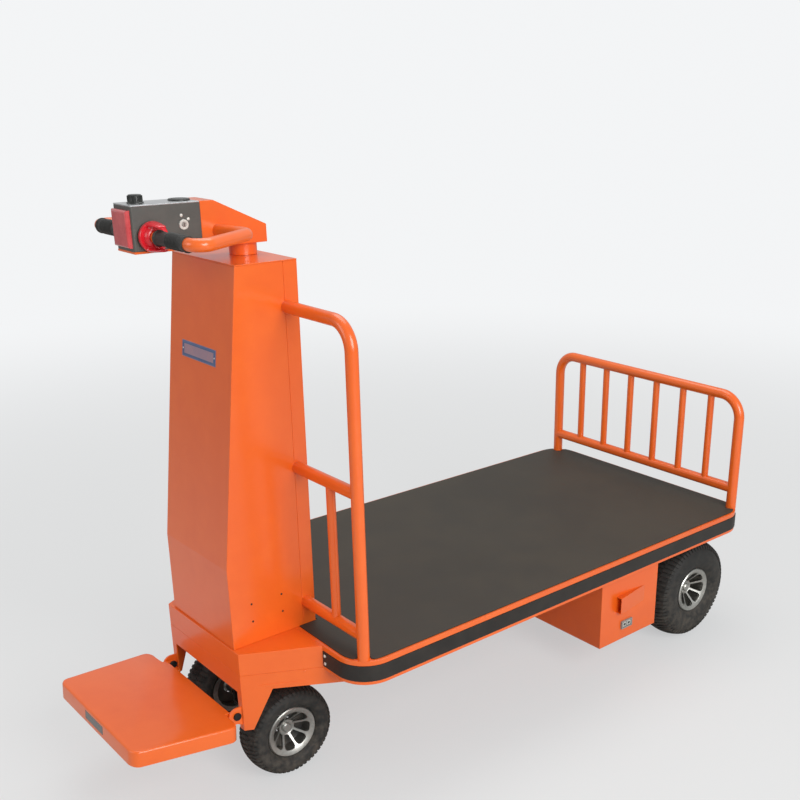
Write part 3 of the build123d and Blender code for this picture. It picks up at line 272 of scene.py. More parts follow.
# %% [markdown]
# ## Forms measured once more
# Some sheet-metal forms differ by up to two centimetres from the CAD model's: the real column stays
# nearly as wide at the top as at its foot, the base's legs reach lower, the handle is wider and the
# mat comes nearer to the deck's edge. A map moves the points of a copy from one outline to the
# other, in millimetres measured from the deck's front edge. Holes for shafts, pins and posts stay
# where they are, and so does the overall size.

# %% Lines through stops
DECK_FRONT = 0.531909       # metres from the deck's front edge back to the origin


def along(value, stops):
    """Straight lines through stops of (given, wanted), and on past the last ones."""
    for (a0, b0), (a1, b1) in zip(stops, stops[1:]):
        if value <= a1 or a1 == stops[-1][0]:
            return b0 + (value - a0) * (b1 - b0) / (a1 - a0)


def clamp(value):
    return min(max(value, 0), 1)


def eased(value):
    """0 to 1, with a soft start and a soft end."""
    share = clamp(value)
    return share * share * (3 - 2 * share)


print("a quarter of the way, eased:", round(eased(0.25), 3))

# %% The column and the base
SHAFT_X, SHAFT_SEAT, SEAT_LOW = 20, 60, 1200    # the sheet round the shaft's hole stays
COLUMN = {
    "height": [(398, 398), (592, 607), (1308, 1308)],
    "front": ([(398, -174), (592, -174), (1305, -80.4)], [(398, -173), (607, -173), (1312, -86)]),
    "rear": ([(398, 64), (1308, 84)], [(398, 62), (1312, 72)]),
    "half": ([(398, 154), (1308, 123)], [(398, 154), (1312, 145)]),
}
FRONT_WALL = -178.5         # the ears for the step stand ahead of it, and stay
BASE_AHEAD = [(-178, -178), (-175, -175), (-158, -157), (-121, -108), (0, 0), (60, 60)]
BASE_LEVEL = [(195, 185), (244, 244), (292, 287), (295, 291), (334, 334), (348, 339), (398, 398)]


def column_map(x, y, z):
    if z > SEAT_LOW and hypot(x - SHAFT_X, y) < SHAFT_SEAT:
        return x, y, z
    level = along(z, COLUMN["height"])
    was, now = [], []
    for edge in ("front", "rear", "half"):
        was.append(along(z, COLUMN[edge][0]))
        now.append(along(level, COLUMN[edge][1]))
    share = (x - was[0]) / (was[1] - was[0])
    return now[0] + share * (now[1] - now[0]), y * now[2] / was[2], level


def base_map(x, y, z):
    if x < FRONT_WALL:
        return x, y, z
    return along(x, BASE_AHEAD), y, along(z, BASE_LEVEL)


print("the column's front corner at the top:", column_map(-80.4, 123, 1305))

# %% The step, the handle and the mat
STEP_REAR = -205            # behind it, where the hinge is, the step stays
STEP_FADE = 20
STEP_SIDE, STEP_WIDER = 190, 9
STEP_MIDDLE, STEP_THICKER = 216, 0.1
HANDLE_INNER, HANDLE_WIDER = 70, 0.07
GRIP_DROP = 4
MAT_MORE = 4
MAT_FRONT, MAT_REAR, MAT_SIDE = 90, 1400, 330
MAT_NOTCH = 160             # half the width of the notch for the column
POSTS = ((38, 394), (1506, 388.5))
POST_HOLE = 17.5


def step_map(x, y, z):
    share = clamp((STEP_REAR - x) / STEP_FADE)
    out_by = STEP_WIDER * clamp((abs(y) - STEP_SIDE) / STEP_FADE) * share
    return x, y + copysign(out_by, y), z + (z - STEP_MIDDLE) * STEP_THICKER * share


def handle_map(x, y, z):
    out_by = max(abs(y) - HANDLE_INNER, 0) * HANDLE_WIDER
    return x, y + copysign(out_by, y), z - GRIP_DROP


def mat_map(x, y, z):
    if min(hypot(x - post_x, abs(y) - post_y) for post_x, post_y in POSTS) < POST_HOLE:
        return x, y, z
    at_front = x < MAT_FRONT and abs(y) > MAT_NOTCH
    ahead_by = MAT_MORE if x > MAT_REAR else -MAT_MORE if at_front else 0
    out_by = MAT_MORE if abs(y) > MAT_SIDE else 0
    return x + ahead_by, y + copysign(out_by, y), z


print("the grips' ends go from 340 mm to", round(handle_map(0, 340, 0)[1], 1))

# %% Which node takes which map
RESHAPED = {
    "column_cover": column_map, "column_channel": column_map, "column_lid": column_map,
    "base_shell": base_map, "base_cap": base_map, "step_plate": step_map, "step_lamp": step_map,
    "handle_bars": handle_map, "deck_mat": mat_map,
}


def reshape(spot, change):
    x, y, z = change((spot.x + DECK_FRONT) / MM, spot.y / MM, spot.z / MM)
    return Vector((x * MM - DECK_FRONT, y * MM, z * MM))


print(len(RESHAPED), "nodes take their measured form")

# %% [markdown]
# ## From CAD node to finished piece
# A CAD node arrives as loose triangles. A copy of it is merged, its flat faces are joined, and its
# folds get the small radius that bent or moulded edges have on the real cart. A sharp edge catches
# no light, and this thin bright line is most of what makes sheet metal look like sheet metal. The
# copy then stands for the node.

# %% Link, bake and round
FOLD_ANGLE = radians(32)


def put(name, mesh, finish_name, body, nodes=()):
    """Link a finished mesh, put it on the body it rides on and hide the nodes it stands for."""
    made = bpy.data.objects.new(name, mesh)
    SCENE.collection.objects.link(made)
    mesh.materials.clear()
    mesh.materials.append(FINISH[finish_name])
    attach(made, body)
    if nodes:
        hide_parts(*nodes)
    print("%-24s %6d faces on %s" % (name, len(mesh.polygons), body))
    return made


def baked(carrier):
    """The carrier with its modifiers worked out, as one plain mesh. The carrier is removed."""
    bpy.context.view_layer.update()
    shaped = carrier.evaluated_get(bpy.context.evaluated_depsgraph_get())
    mesh = bpy.data.meshes.new_from_object(shaped)
    bpy.data.objects.remove(carrier)
    return mesh


def carrier_of(mesh, name="carrier"):
    carrier = bpy.data.objects.new(name, mesh)
    SCENE.collection.objects.link(carrier)
    return carrier


def rounded(mesh, radius, angle=FOLD_ANGLE):
    """Round every fold sharper than an angle and keep the flats flat."""
    carrier = carrier_of(mesh)
    for face in mesh.polygons:
        face.use_smooth = True
    if radius:
        bevel = carrier.modifiers.new("fold", "BEVEL")
        bevel.width = radius
        bevel.segments = 2
        bevel.limit_method = "ANGLE"
        bevel.angle_limit = angle
        bevel.harden_normals = True
    else:
        mesh.set_sharp_from_angle(angle=FOLD_ANGLE)
    return baked(carrier)


print("folds sharper than %.0f degrees are rounded" % (FOLD_ANGLE * 180 / pi))

# %% A merged copy of a node
MERGE = 0.00001
FLAT_ANGLE = radians(0.6)
STEP_RIM_R = 5 * MM
STEP_RIM_END = -0.75        # metres from the origin: the rim's edges behind it reach the hinge
FACING_UP = 0.9


def soften_rim(shape):
    """Give the outline of the step's top a wider radius than the folds, except at the hinge."""
    top = max((f for f in shape.faces if f.normal.z > FACING_UP), key=lambda f: f.calc_area())
    rim = [e for e in top.edges if max(v.co.x for v in e.verts) < STEP_RIM_END]
    bmesh.ops.bevel(shape, geom=rim, offset=STEP_RIM_R, segments=4, profile=0.5, affect="EDGES")


def copy_of(node):
    """A copy of a CAD node's mesh, merged, in its measured form, without its stored normals."""
    shape = bmesh.new()
    shape.from_mesh(frame["nodes"][node].data)
    bmesh.ops.remove_doubles(shape, verts=shape.verts, dist=MERGE)
    bmesh.ops.dissolve_limit(shape, angle_limit=FLAT_ANGLE, verts=shape.verts, edges=shape.edges)
    if node in RESHAPED:
        for spot in shape.verts:
            spot.co = reshape(spot.co, RESHAPED[node])
    if node == "step_plate":
        soften_rim(shape)
    mesh = bpy.data.meshes.new(node + "_copy")
    shape.to_mesh(mesh)
    shape.free()
    mesh.attributes.remove(mesh.attributes["custom_normal"])
    return mesh


print(len(frame["nodes"]), "nodes in the frame")

# %% Every rigid node in its finish
KNEE_ANGLE = radians(4)     # less than the bend in the column's front
BODY_OF = {node: body for body, nodes in frame["record"]["behaviour"]["bodies"].items()
           for node in nodes}

# node, finish, slot, radius of its folds in millimetres
DRESSED = [
    ("deck_pan", "paint", "orange_paint", 1.0),
    ("deck_mat", "mat", "mat", 0.8),
    ("edge_bumper", "bumper", "bumper", 1.6),
    ("base_shell", "paint", "orange_paint", 1.0),
    ("base_cap", "paint", "orange_paint", 1.2),
    ("column_cover", "paint", "orange_paint", 2.0),
    ("column_channel", "paint", "orange_paint", 2.0),
    ("column_lid", "paint", "orange_paint", 1.0),
    ("front_rail_right", "paint", "orange_paint", 0),
    ("front_rail_left", "paint", "orange_paint", 0),
    ("rear_guard", "paint", "orange_paint", 0),
    ("battery_box", "paint", "orange_paint", 1.2),
    ("vent_hood", "paint", "orange_paint", 0.9),
    ("step_plate", "paint", "orange_paint", 1.2),
    ("tiller_bracket", "paint", "orange_paint", 1.2),
    ("handle_bars", "paint", "orange_paint", 0),
    ("steering_shaft", "paint", "orange_paint", 0.8),
    ("head_box", "housing", "head_plastic", 1.2),
    ("head_panel", "panel", "head_panel", 0.8),
    ("belly_switch", "belly", "red_plastic", 0),
    ("step_lamp", "lamp", "lamp", 0.8),
    ("step_pins", "blackbolt", "steel", 0.8),
    ("bearing_plate", "paint", "orange_paint", 0.8),
    ("axle_pedestal", "black", "underbody", 0.8),
    ("front_beam", "black", "underbody", 0.8),
    ("rear_axle", "black", "underbody", 0.8),
    ("drive_motor", "black", "underbody", 2.0),
    ("axle_hangers", "black", "underbody", 0.8),
    ("deck_rails", "black", "underbody", 1.2),
    ("deck_crossbars", "black", "underbody", 1.2),
    ("battery_pack", "black", "underbody", 1.2),
    ("knuckle_right", "black", "underbody", 0.8),
    ("knuckle_left", "black", "underbody", 0.8),
    ("tie_rod", "steel", "steel", 0.8),
    ("drag_link", "steel", "steel", 0.8),
    ("front_rim_right", "rim", "rim", 0.7),
    ("front_rim_left", "rim", "rim", 0.7),
    ("rear_rim_right", "rim", "rim", 0.8),
    ("rear_rim_left", "rim", "rim", 0.8),
]
for node, finish_name, slot, radius in DRESSED:
    angle = KNEE_ANGLE if node == "column_cover" else FOLD_ANGLE
    mesh = rounded(copy_of(node), radius * MM, angle=angle)
    put(node + "_skin", mesh, finish_name, BODY_OF[node], [node])

# %% [markdown]
# ## Copies round a ring or along a row
# Tread lugs, the knob's ridges, grip ribs and socket inlets are one small shape many times over.
# Geometry Nodes repeat it: points are turned or spaced by their index and carry its instances.
# The tree ends by realizing the instances, because a plain mesh is what can be exported. One tree
# serves a ring, another a row, and named inputs hold their sizes.

# %% Two trees of copies
def copies_tree(name, is_ring):
    """A Geometry Nodes tree that adds copies of a shape to the mesh that carries it."""
    tree = bpy.data.node_groups.new(name, "GeometryNodeTree")
    face = tree.interface
    face.new_socket("Mesh", in_out="OUTPUT", socket_type="NodeSocketGeometry")
    face.new_socket("Mesh", in_out="INPUT", socket_type="NodeSocketGeometry")
    face.new_socket("Shape", in_out="INPUT", socket_type="NodeSocketObject")
    face.new_socket("Copies", in_out="INPUT", socket_type="NodeSocketInt")
    face.new_socket("Centre", in_out="INPUT", socket_type="NodeSocketVector")
    face.new_socket("Axis" if is_ring else "Step", in_out="INPUT", socket_type="NodeSocketVector")
    face.new_socket("Finish", in_out="INPUT", socket_type="NodeSocketMaterial")
    given = tree.nodes.new("NodeGroupInput")
    wire = Wire(tree)
    mesh, shape, copies, centre, course, material = (Wire(tree, s) for s in given.outputs[:6])

    geometry = wire.node("GeometryNodeObjectInfo", {"Object": shape}, out=4)
    index = wire.node("GeometryNodeInputIndex")
    vector = "ShaderNodeVectorMath"
    if is_ring:
        home = wire.node(vector, {0: centre, "Scale": -1.0}, {"operation": "SCALE"})
        geometry = wire.node("GeometryNodeTransform", {"Geometry": geometry, "Translation": home})
        points = wire.node("GeometryNodePoints", {"Count": copies, "Position": centre})
        angle = index * (2 * pi) / copies
        turn = wire.node(vector, {0: course, "Scale": angle}, {"operation": "SCALE"})
        inputs = {"Points": points, "Instance": geometry, "Rotation": turn}
    else:
        shift = wire.node(vector, {0: course, "Scale": index}, {"operation": "SCALE"})
        place = wire.node(vector, {0: centre, 1: shift})
        points = wire.node("GeometryNodePoints", {"Count": copies, "Position": place})
        inputs = {"Points": points, "Instance": geometry}
    placed = wire.node("GeometryNodeInstanceOnPoints", inputs)
    solid = wire.node("GeometryNodeRealizeInstances", {"Geometry": placed})
    joined = tree.nodes.new("GeometryNodeJoinGeometry")
    tree.links.new(solid.socket, joined.inputs[0])
    tree.links.new(mesh.socket, joined.inputs[0])
    joined = Wire(tree, joined.outputs[0])
    done = wire.node("GeometryNodeSetMaterial", {"Geometry": joined, "Material": material})
    tree.links.new(done.socket, tree.nodes.new("NodeGroupOutput").inputs[0])
    return tree


RING = copies_tree("copies_round_a_ring", True)
ROW = copies_tree("copies_along_a_row", False)


def with_copies(tree, mesh, shape, **values):
    """The mesh joined with its copies of the shape. Inputs are given by their names."""
    carrier = carrier_of(mesh)
    pattern = carrier_of(shape, "pattern")
    made = carrier.modifiers.new("copies", "NODES")
    made.node_group = tree
    names = {s.name: s.identifier for s in tree.interface.items_tree if s.in_out == "INPUT"}
    made[names["Shape"]] = pattern
    for name, value in values.items():
        made[names[name]] = value
    result = baked(carrier)
    bpy.data.objects.remove(pattern)
    return result


# %% [markdown]
# ## Turned shapes
# Tyres, knobs, caps and screw heads are all turned: a section swept round an axis. A helper takes
# the section as pairs of radius and height, closes the poles and returns a mesh. The section runs
# so that its faces point outwards.

# %% Turned meshes
def basis(axis):
    """Two directions square to an axis, so that the three form a right-handed set."""
    axis = Vector(axis).normalized()
    first = Vector((0, 0, 1)) if abs(axis.z) < 0.9 else Vector((1, 0, 0))
    first = (first - axis * first.dot(axis)).normalized()
    return first, axis.cross(first)


def as_mesh(shape, name, smooth=FOLD_ANGLE):
    """Merge, turn the faces outwards and shade smooth up to an angle."""
    bmesh.ops.remove_doubles(shape, verts=shape.verts, dist=MERGE)
    bmesh.ops.recalc_face_normals(shape, faces=shape.faces)
    mesh = bpy.data.meshes.new(name)
    shape.to_mesh(mesh)
    shape.free()
    for face in mesh.polygons:
        face.use_smooth = True
    mesh.set_sharp_from_angle(angle=smooth)
    return mesh


def turned(section, centre, axis, count, closed=True, shape=None):
    """Sweep a section of (radius, height) round an axis. Heights count from the centre."""
    shape = shape or bmesh.new()
    first, second = basis(axis)
    rings = []
    for i in range(count):
        angle = 2 * pi * i / count
        out = first * cos(angle) + second * sin(angle)
        spots = [Vector(centre) + out * r + Vector(axis) * h for r, h in section]
        rings.append([shape.verts.new(spot) for spot in spots])
    steps = len(section) if closed else len(section) - 1
    for i in range(count):
        near, far = rings[i], rings[(i + 1) % count]
        for k in range(steps):
            n = (k + 1) % len(section)
            corners = [near[k], far[k], far[n], near[n]]
            if section[k][0] < MERGE:
                corners = [near[k], far[n], near[n]]
            elif section[n][0] < MERGE:
                corners = [near[k], far[k], near[n]]
            shape.faces.new(corners)
    return shape


def arc(start, middle, end, count):
    """Points on the circle through three points of a section."""
    (ax, ay), (bx, by), (cx, cy) = start, middle, end
    d = 2 * (ax * (by - cy) + bx * (cy - ay) + cx * (ay - by))
    sa, sb, sc = ax * ax + ay * ay, bx * bx + by * by, cx * cx + cy * cy
    x = (sa * (by - cy) + sb * (cy - ay) + sc * (ay - by)) / d
    y = (sa * (cx - bx) + sb * (ax - cx) + sc * (bx - ax)) / d
    radius = hypot(ax - x, ay - y)
    a0, a1, a2 = (atan2(q[1] - y, q[0] - x) for q in (start, middle, end))
    span, part = (a2 - a0) % (2 * pi), (a1 - a0) % (2 * pi)
    if part > span:
        span -= 2 * pi
    turns = [a0 + span * i / count for i in range(count + 1)]
    return [(x + radius * cos(t), y + radius * sin(t), cos(t), sin(t)) for t in turns]


# %% [markdown]
# ## Tyres
# These are block-tread pneumatic tyres. A turned carcass carries the sidewalls, each with a
# moulded ring and a bead behind the rim's flange. Each lug is a short bar that starts high on the
# sidewall, climbs over the shoulder and stops near the crown, and two smaller blocks stand in the
# middle. One pitch of the pattern is modelled and goes round the tyre as a ring of copies.

# %% Tyre sections
WALL_STEPS = 14
CROWN_STEPS = 5
BELLY_SHARE = 0.45
SHOULDER_DROP = 0.13
SHOULDER_SHARE = 0.82
BEAD_INSET = 15 * MM
LIP = 1 * MM
SEAT_DEPTH = 8.8 * MM               # how far the carcass goes down behind the rim's flange
WALL_RIDGES = {3: 0.5 * MM, 4: 0.9 * MM, 5: 0.5 * MM}
CARCASS_TURNS = 96
LUG_START, LUG_FULL = 0.70, 0.94    # shares of the sidewall's line, from the bead outwards
LUG_LEAST = 0.02
LUG_SINK = 0.8 * MM

# width, taper of the flanks, slant and shift along the tread, in pitches
BAR = (0.52, 0.06, 0.30, 0.25)
BLOCK = (0.60, 0.05, 0.25, 0.25 + 0.55)
BLOCK_INSET = 1.5 * MM
BAR_REACH = 4                       # steps of the crown that a bar covers


def tyre_side(outer_r, ring_r, half):
    """Outer line of half a tyre as (radius, height, normal radius, normal height)."""
    wall = outer_r - ring_r
    lip = (ring_r + LIP, half - BEAD_INSET)
    belly = (ring_r + wall * BELLY_SHARE, half)
    shoulder = (outer_r - wall * SHOULDER_DROP, half * SHOULDER_SHARE)
    side = arc(lip, belly, shoulder, WALL_STEPS)
    crown = arc(shoulder, (outer_r, 0), (shoulder[0], -shoulder[1]), 2 * CROWN_STEPS)
    return side, crown[: CROWN_STEPS + 1]


def lug_bar(shape, line, centre, s, pitch, sizes):
    """One bar of tread over the given points (r, y, nr, ny, depth)."""
    width, taper, slant, shift = (size * pitch for size in sizes)
    half_low = width / 2 + taper
    rows = []
    for i, (r, y, nr, ny, depth) in enumerate(line):
        lean = s * (shift + slant * i / (len(line) - 1))
        ring = []
        for sink, half_width in ((depth + LUG_SINK, half_low), (0, width / 2), (0, -width / 2),
                                 (depth + LUG_SINK, -half_low)):
            radius = r - nr * sink
            angle = (lean + half_width) / radius
            spot = Vector((radius * sin(angle), s * (y - ny * sink), radius * cos(angle)))
            ring.append(shape.verts.new(centre + spot))
        rows.append(ring)
    for near, far in zip(rows, rows[1:]):
        for k in range(3):
            shape.faces.new([near[k], near[k + 1], far[k + 1], far[k]])
    for ring in (rows[0], rows[-1]):
        shape.faces.new(ring)


def tyre_mesh(node, rim_node, pitches, depth):
    low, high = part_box(node)
    centre = (low + high) / 2
    outer_r, half = (high.z - low.z) / 2, (high.y - low.y) / 2
    rim_low, rim_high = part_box(rim_node)
    ring_r = (rim_high.z - rim_low.z) / 2
    side, crown = tyre_side(outer_r, ring_r, half)

    wall = []
    for i, (r, y, nr, ny) in enumerate(side):
        share = (i / WALL_STEPS - LUG_START) / (LUG_FULL - LUG_START)
        wall.append((r, y, nr, ny, depth * eased(share)))
    top = [(r, y, nr, ny, depth) for r, y, nr, ny in crown]
    line = []
    for i, (r, y, nr, ny, d) in enumerate(wall + top[1:]):
        lift = WALL_RIDGES.get(i, 0) - d
        line.append((r + nr * lift, min(y + ny * lift, half)))
    section = [(ring_r - SEAT_DEPTH, line[0][1])] + line
    section += [(r, -y) for r, y in reversed(section[:-1])]
    carcass = as_mesh(turned(section, centre, (0, 1, 0), CARCASS_TURNS), node + "_carcass")

    pitch = 2 * pi * outer_r / pitches
    lugs = bmesh.new()
    bar = [row for row in wall if row[4] > depth * LUG_LEAST][1:] + top[1:BAR_REACH]
    block = [(r, y - BLOCK_INSET, nr, ny, d) for r, y, nr, ny, d in top[BAR_REACH - 1:]]
    for s in (-1, 1):
        lug_bar(lugs, bar, centre, s, pitch, BAR)
        lug_bar(lugs, block, centre, s, pitch, BLOCK)
    pattern = as_mesh(lugs, node + "_lug", radians(25))
    return with_copies(RING, carcass, pattern, Copies=pitches, Centre=centre, Axis=(0, 1, 0),
                       Finish=FINISH["tyre"])


# %% Tyres on their wheels
TREADS = {"front": (54, 2.4 * MM), "rear": (66, 3.6 * MM)}     # pitches round the tyre, depth
for end, tread in TREADS.items():
    for hand in ("right", "left"):
        node = f"{end}_tyre_{hand}"
        mesh = tyre_mesh(node, f"{end}_rim_{hand}", *tread)
        put(node + "_tread", mesh, "tyre", BODY_OF[node], [node])

# %% [markdown]
# ## Painted shade behind the spokes
# The dark between the spokes is shade inside the wheel. A dished black disc stands behind the
# spokes and turns with them as painted shade: it is no part of the real wheel.

# %% Painted shade discs
HUB_R = 24 * MM
DISC_INSET = 13 * MM        # the disc ends so far inside of the rim's edge


# A black disc that paints the shade between the spokes.
def painted_shade_disc(node):
    low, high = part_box(node)
    centre = (low + high) / 2
    outer = (high.z - low.z) / 2 - DISC_INSET
    section = [(HUB_R, -5 * MM), (outer - 6 * MM, -5 * MM), (outer, -2 * MM), (outer, 0),
               (outer - 7 * MM, -3 * MM), (HUB_R, -3 * MM)]
    s = 1 if centre.y > 0 else -1
    return as_mesh(turned(section, centre, (0, s, 0), 48), node + "_hub_disc")


# Painted shade: one black disc behind the spokes of each wheel.
for end in ("front", "rear"):
    for hand in ("right", "left"):
        put(f"{end}_hub_disc_{hand}", painted_shade_disc(f"{end}_rim_{hand}"), "black",
            BODY_OF[f"{end}_rim_{hand}"])

# %% [markdown]
# ## Grips
# The grips are rubber sleeves on the handle's cross runs. A flange ends each of them at either
# side, and towards the outside a row of rings gives the fingers a hold.

# %% Grips
TUBE_BORE = 14.2 * MM
RIB_PITCH, RIB_HEIGHT = 6.4 * MM, 2.2 * MM
RIBS_FROM, RIBS_SHARE = 0.42, 0.5   # where the ribs begin, and their part of the length


def grip_ends():
    """Nearest and furthest distance of a grip from the cart's middle."""
    spots = [abs(v.co.y) for v in frame["nodes"]["grips"].data.vertices]
    return min(spots), max(spots)


def grip_mesh(s):
    low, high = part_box("grips")
    centre = Vector(((low.x + high.x) / 2, 0, (low.z + high.z) / 2 - GRIP_DROP * MM))
    radius = (high.z - low.z) / 2
    body_r = radius - RIB_HEIGHT
    start, end = grip_ends()
    end = handle_map(0, end / MM, 0)[1] * MM
    section = [
        (TUBE_BORE, s * start), (radius, s * start), (radius, s * (start + 3 * MM)),
        (body_r, s * (start + 5 * MM)), (body_r, s * (end - 5 * MM)),
        (radius, s * (end - 3.5 * MM)), (radius, s * (end - 1 * MM)),
        (radius - 1 * MM, s * end), (TUBE_BORE, s * end),
    ]
    sleeve = as_mesh(turned(section, centre, (0, 1, 0), 40), "grip_sleeve")
    first = s * (start + (end - start) * RIBS_FROM)
    foot_r = body_r - 0.4 * MM
    ring = [row[:2] for row in arc((foot_r, -2 * MM), (radius - 0.1 * MM, 0), (foot_r, 2 * MM), 4)]
    rib = as_mesh(turned(ring, (0, 0, 0), (0, 1, 0), 32), "grip_rib", radians(60))
    copies = int((end - start) * RIBS_SHARE / RIB_PITCH)
    return with_copies(ROW, sleeve, rib, Copies=copies, Centre=centre + Vector((0, first, 0)),
                       Step=(0, s * RIB_PITCH, 0), Finish=FINISH["grip"])


for hand, s in (("right", -1), ("left", 1)):
    put(f"grip_{hand}", grip_mesh(s), "grip", "steering", ["grips"])

# %% [markdown]
# ## Thumb levers
# Each lever is a red disc against the head. Above and below, a wing reaches along the grip, which
# the thumb pushes up or down, so it turns the speed forward or back. Between the wings the face is
# scooped towards a collar. A polar grid does it: the section's outer part grows where a wing is.

# %% Thumb levers
LEVER_R = 33 * MM
LEVER_DISC = 9 * MM
WING_REACH = 42 * MM
WING_TIP_R = 27 * MM
WING_FROM, WING_FULL = 0.80, 0.97   # sine of the angle at which a wing begins and is whole
WING_STEPS = 5
COLLAR_REACH = 10 * MM
LEVER_TURNS = 144


def straight(start, end):
    """Points on the line between two points of a section."""
    (r0, y0), (r1, y1) = start, end
    shares = [k / WING_STEPS for k in range(WING_STEPS + 1)]
    return [(r0 + (r1 - r0) * v, y0 + (y1 - y0) * v) for v in shares]


def lever_mesh(s):
    low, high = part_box("throttles")
    centre = Vector(((low.x + high.x) / 2, 0, (low.z + high.z) / 2 - GRIP_DROP * MM))
    near = min(abs(v.co.y) for v in frame["nodes"]["throttles"].data.vertices)
    disc = near + LEVER_DISC
    collar = disc + COLLAR_REACH
    shape = bmesh.new()
    rings = []
    for i in range(LEVER_TURNS):
        angle = 2 * pi * i / LEVER_TURNS
        wing = eased((abs(sin(angle)) - WING_FROM) / (WING_FULL - WING_FROM))
        tip_y = disc + 1.6 * MM + WING_REACH * wing
        tip_r = LEVER_R + (WING_TIP_R - LEVER_R) * wing
        foot = (24.5 * MM, disc + (0.6 + 9 * wing) * MM)
        line = [(TUBE_BORE, near), (LEVER_R - 2.5 * MM, near),
                (LEVER_R - 0.7 * MM, near + 0.7 * MM), (LEVER_R, near + 2.5 * MM)]
        line += straight((LEVER_R, disc - 2 * MM), (tip_r, tip_y - 2 * MM))
        line.append((tip_r - 1.2 * MM, tip_y))
        line += straight((tip_r - 3.4 * MM, tip_y), foot)
        line += [(22.6 * MM, disc + (3.5 + 6.6 * wing) * MM),
                 (21 * MM, collar + (2 * wing - 2) * MM), (19.4 * MM, collar),
                 (TUBE_BORE, collar + 0.4 * MM)]
        out = Vector((cos(angle), 0, sin(angle)))
        rings.append([shape.verts.new(centre + out * r + Vector((0, s * y, 0))) for r, y in line])
    for i in range(LEVER_TURNS):
        ring, following = rings[i], rings[(i + 1) % LEVER_TURNS]
        for k in range(len(ring)):
            n = (k + 1) % len(ring)
            shape.faces.new([ring[k], ring[n], following[n], following[k]])
    return as_mesh(shape, "lever", radians(50))


for hand, s in (("right", -1), ("left", 1)):
    put(f"thumb_lever_{hand}", lever_mesh(s), "red", "steering", ["throttles"])

# %% [markdown]
# ## Controls on the head
# A dark knob with a ridged side sets the top speed, a flat round button sounds the horn, and the
# key switch sits in the head's side under a white ring, with two small indicator lamps. The
# knob's ridges are a ring of copies.

# %% Knob
def small_box(size, centre, edge):
    """A box with bevelled edges."""
    shape = bmesh.new()
    bmesh.ops.create_cube(shape, size=1)
    bmesh.ops.scale(shape, vec=size, verts=shape.verts)
    bmesh.ops.bevel(shape, geom=shape.edges[:], offset=edge, segments=1, affect="EDGES")
    bmesh.ops.translate(shape, vec=centre, verts=shape.verts)
    return shape


panel_low, panel_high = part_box("head_panel")
PANEL_TOP = panel_high.z
HEAD_SIDE = panel_low.y
KNOB_AT = Vector((panel_low.x + 32 * MM, 0, PANEL_TOP))
BUTTON_AT = Vector((panel_high.x - 27 * MM, 0, PANEL_TOP))
KEY_AT = Vector((panel_high.x - 42 * MM, HEAD_SIDE, PANEL_TOP - 47 * MM))

section = [(0, 0), (18 * MM, 0), (18 * MM, 2 * MM), (15.5 * MM, 4 * MM), (14.8 * MM, 16 * MM),
           (13.2 * MM, 18 * MM), (9 * MM, 17.6 * MM), (0, 17.6 * MM)]
knob = as_mesh(turned(section, KNOB_AT, (0, 0, 1), 48, closed=False), "knob")
ridge = small_box((1.8 * MM, 1.9 * MM, 12 * MM), KNOB_AT + Vector((15.3 * MM, 0, 10 * MM)),
                  0.5 * MM)
knob = with_copies(RING, knob, as_mesh(ridge, "ridge"), Copies=20, Centre=KNOB_AT, Axis=(0, 0, 1),
                   Finish=FINISH["knob"])
put("speed_knob", knob, "knob", "steering", ["head_controls"])

# %% Horn button and key switch
section = [(0, 0), (24 * MM, 0), (24 * MM, 2.4 * MM), (22.6 * MM, 3.8 * MM), (17 * MM, 3.8 * MM),
           (16.4 * MM, 2.6 * MM), (15.6 * MM, 2.6 * MM), (15 * MM, 3.6 * MM), (0, 4 * MM)]
button = as_mesh(turned(section, BUTTON_AT, (0, 0, 1), 56, closed=False), "button")
put("horn_button", button, "knob", "steering", ["head_controls"])

section = [(0, 0), (11 * MM, 0), (11 * MM, 1.6 * MM), (10 * MM, 2.8 * MM), (7.4 * MM, 2.8 * MM),
           (7 * MM, 1.4 * MM), (0, 1.4 * MM)]
ring = as_mesh(turned(section, KEY_AT, (0, -1, 0), 40, closed=False), "key_ring")
put("key_switch_ring", ring, "white", "steering", ["head_controls"])

section = [(0, 1 * MM), (5.4 * MM, 1 * MM), (5.4 * MM, 2.2 * MM), (4.6 * MM, 2.9 * MM),
           (0, 2.9 * MM)]
core = as_mesh(turned(section, KEY_AT, (0, -1, 0), 32, closed=False), "core")
put("key_switch_core", core, "steel", "steering", ["head_controls"])
slit = small_box((1.4 * MM, 0.6 * MM, 6 * MM), KEY_AT + Vector((0, -2.8 * MM, 0)), 0.15 * MM)
put("key_slit", as_mesh(slit, "slit"), "blackbolt", "steering")

# %% Indicator lamps
LAMP_SPOTS = ((-4.2, 1409.7), (11.8, 1401.1))   # back from the key switch, up from the floor
section = [(0, 0), (3.4 * MM, 0), (3.4 * MM, 0.8 * MM), (2.4 * MM, 1.6 * MM), (0, 2.0 * MM)]
lamps = bmesh.new()
for x, z in LAMP_SPOTS:
    spot = Vector((KEY_AT.x + x * MM, HEAD_SIDE, z * MM))
    turned(section, spot, (0, -1, 0), 20, closed=False, shape=lamps)
put("indicator_lamps", as_mesh(lamps, "indicator"), "white", "steering")

# %% [markdown]
# ## The blank nameplate
# A metal plate sits on the column's sloping front. Here it is blank: a pale field inside a blue
# border, with a rivet at each end. It lies square on the sheet, so it is built flat and turned by
# the slope of the column.

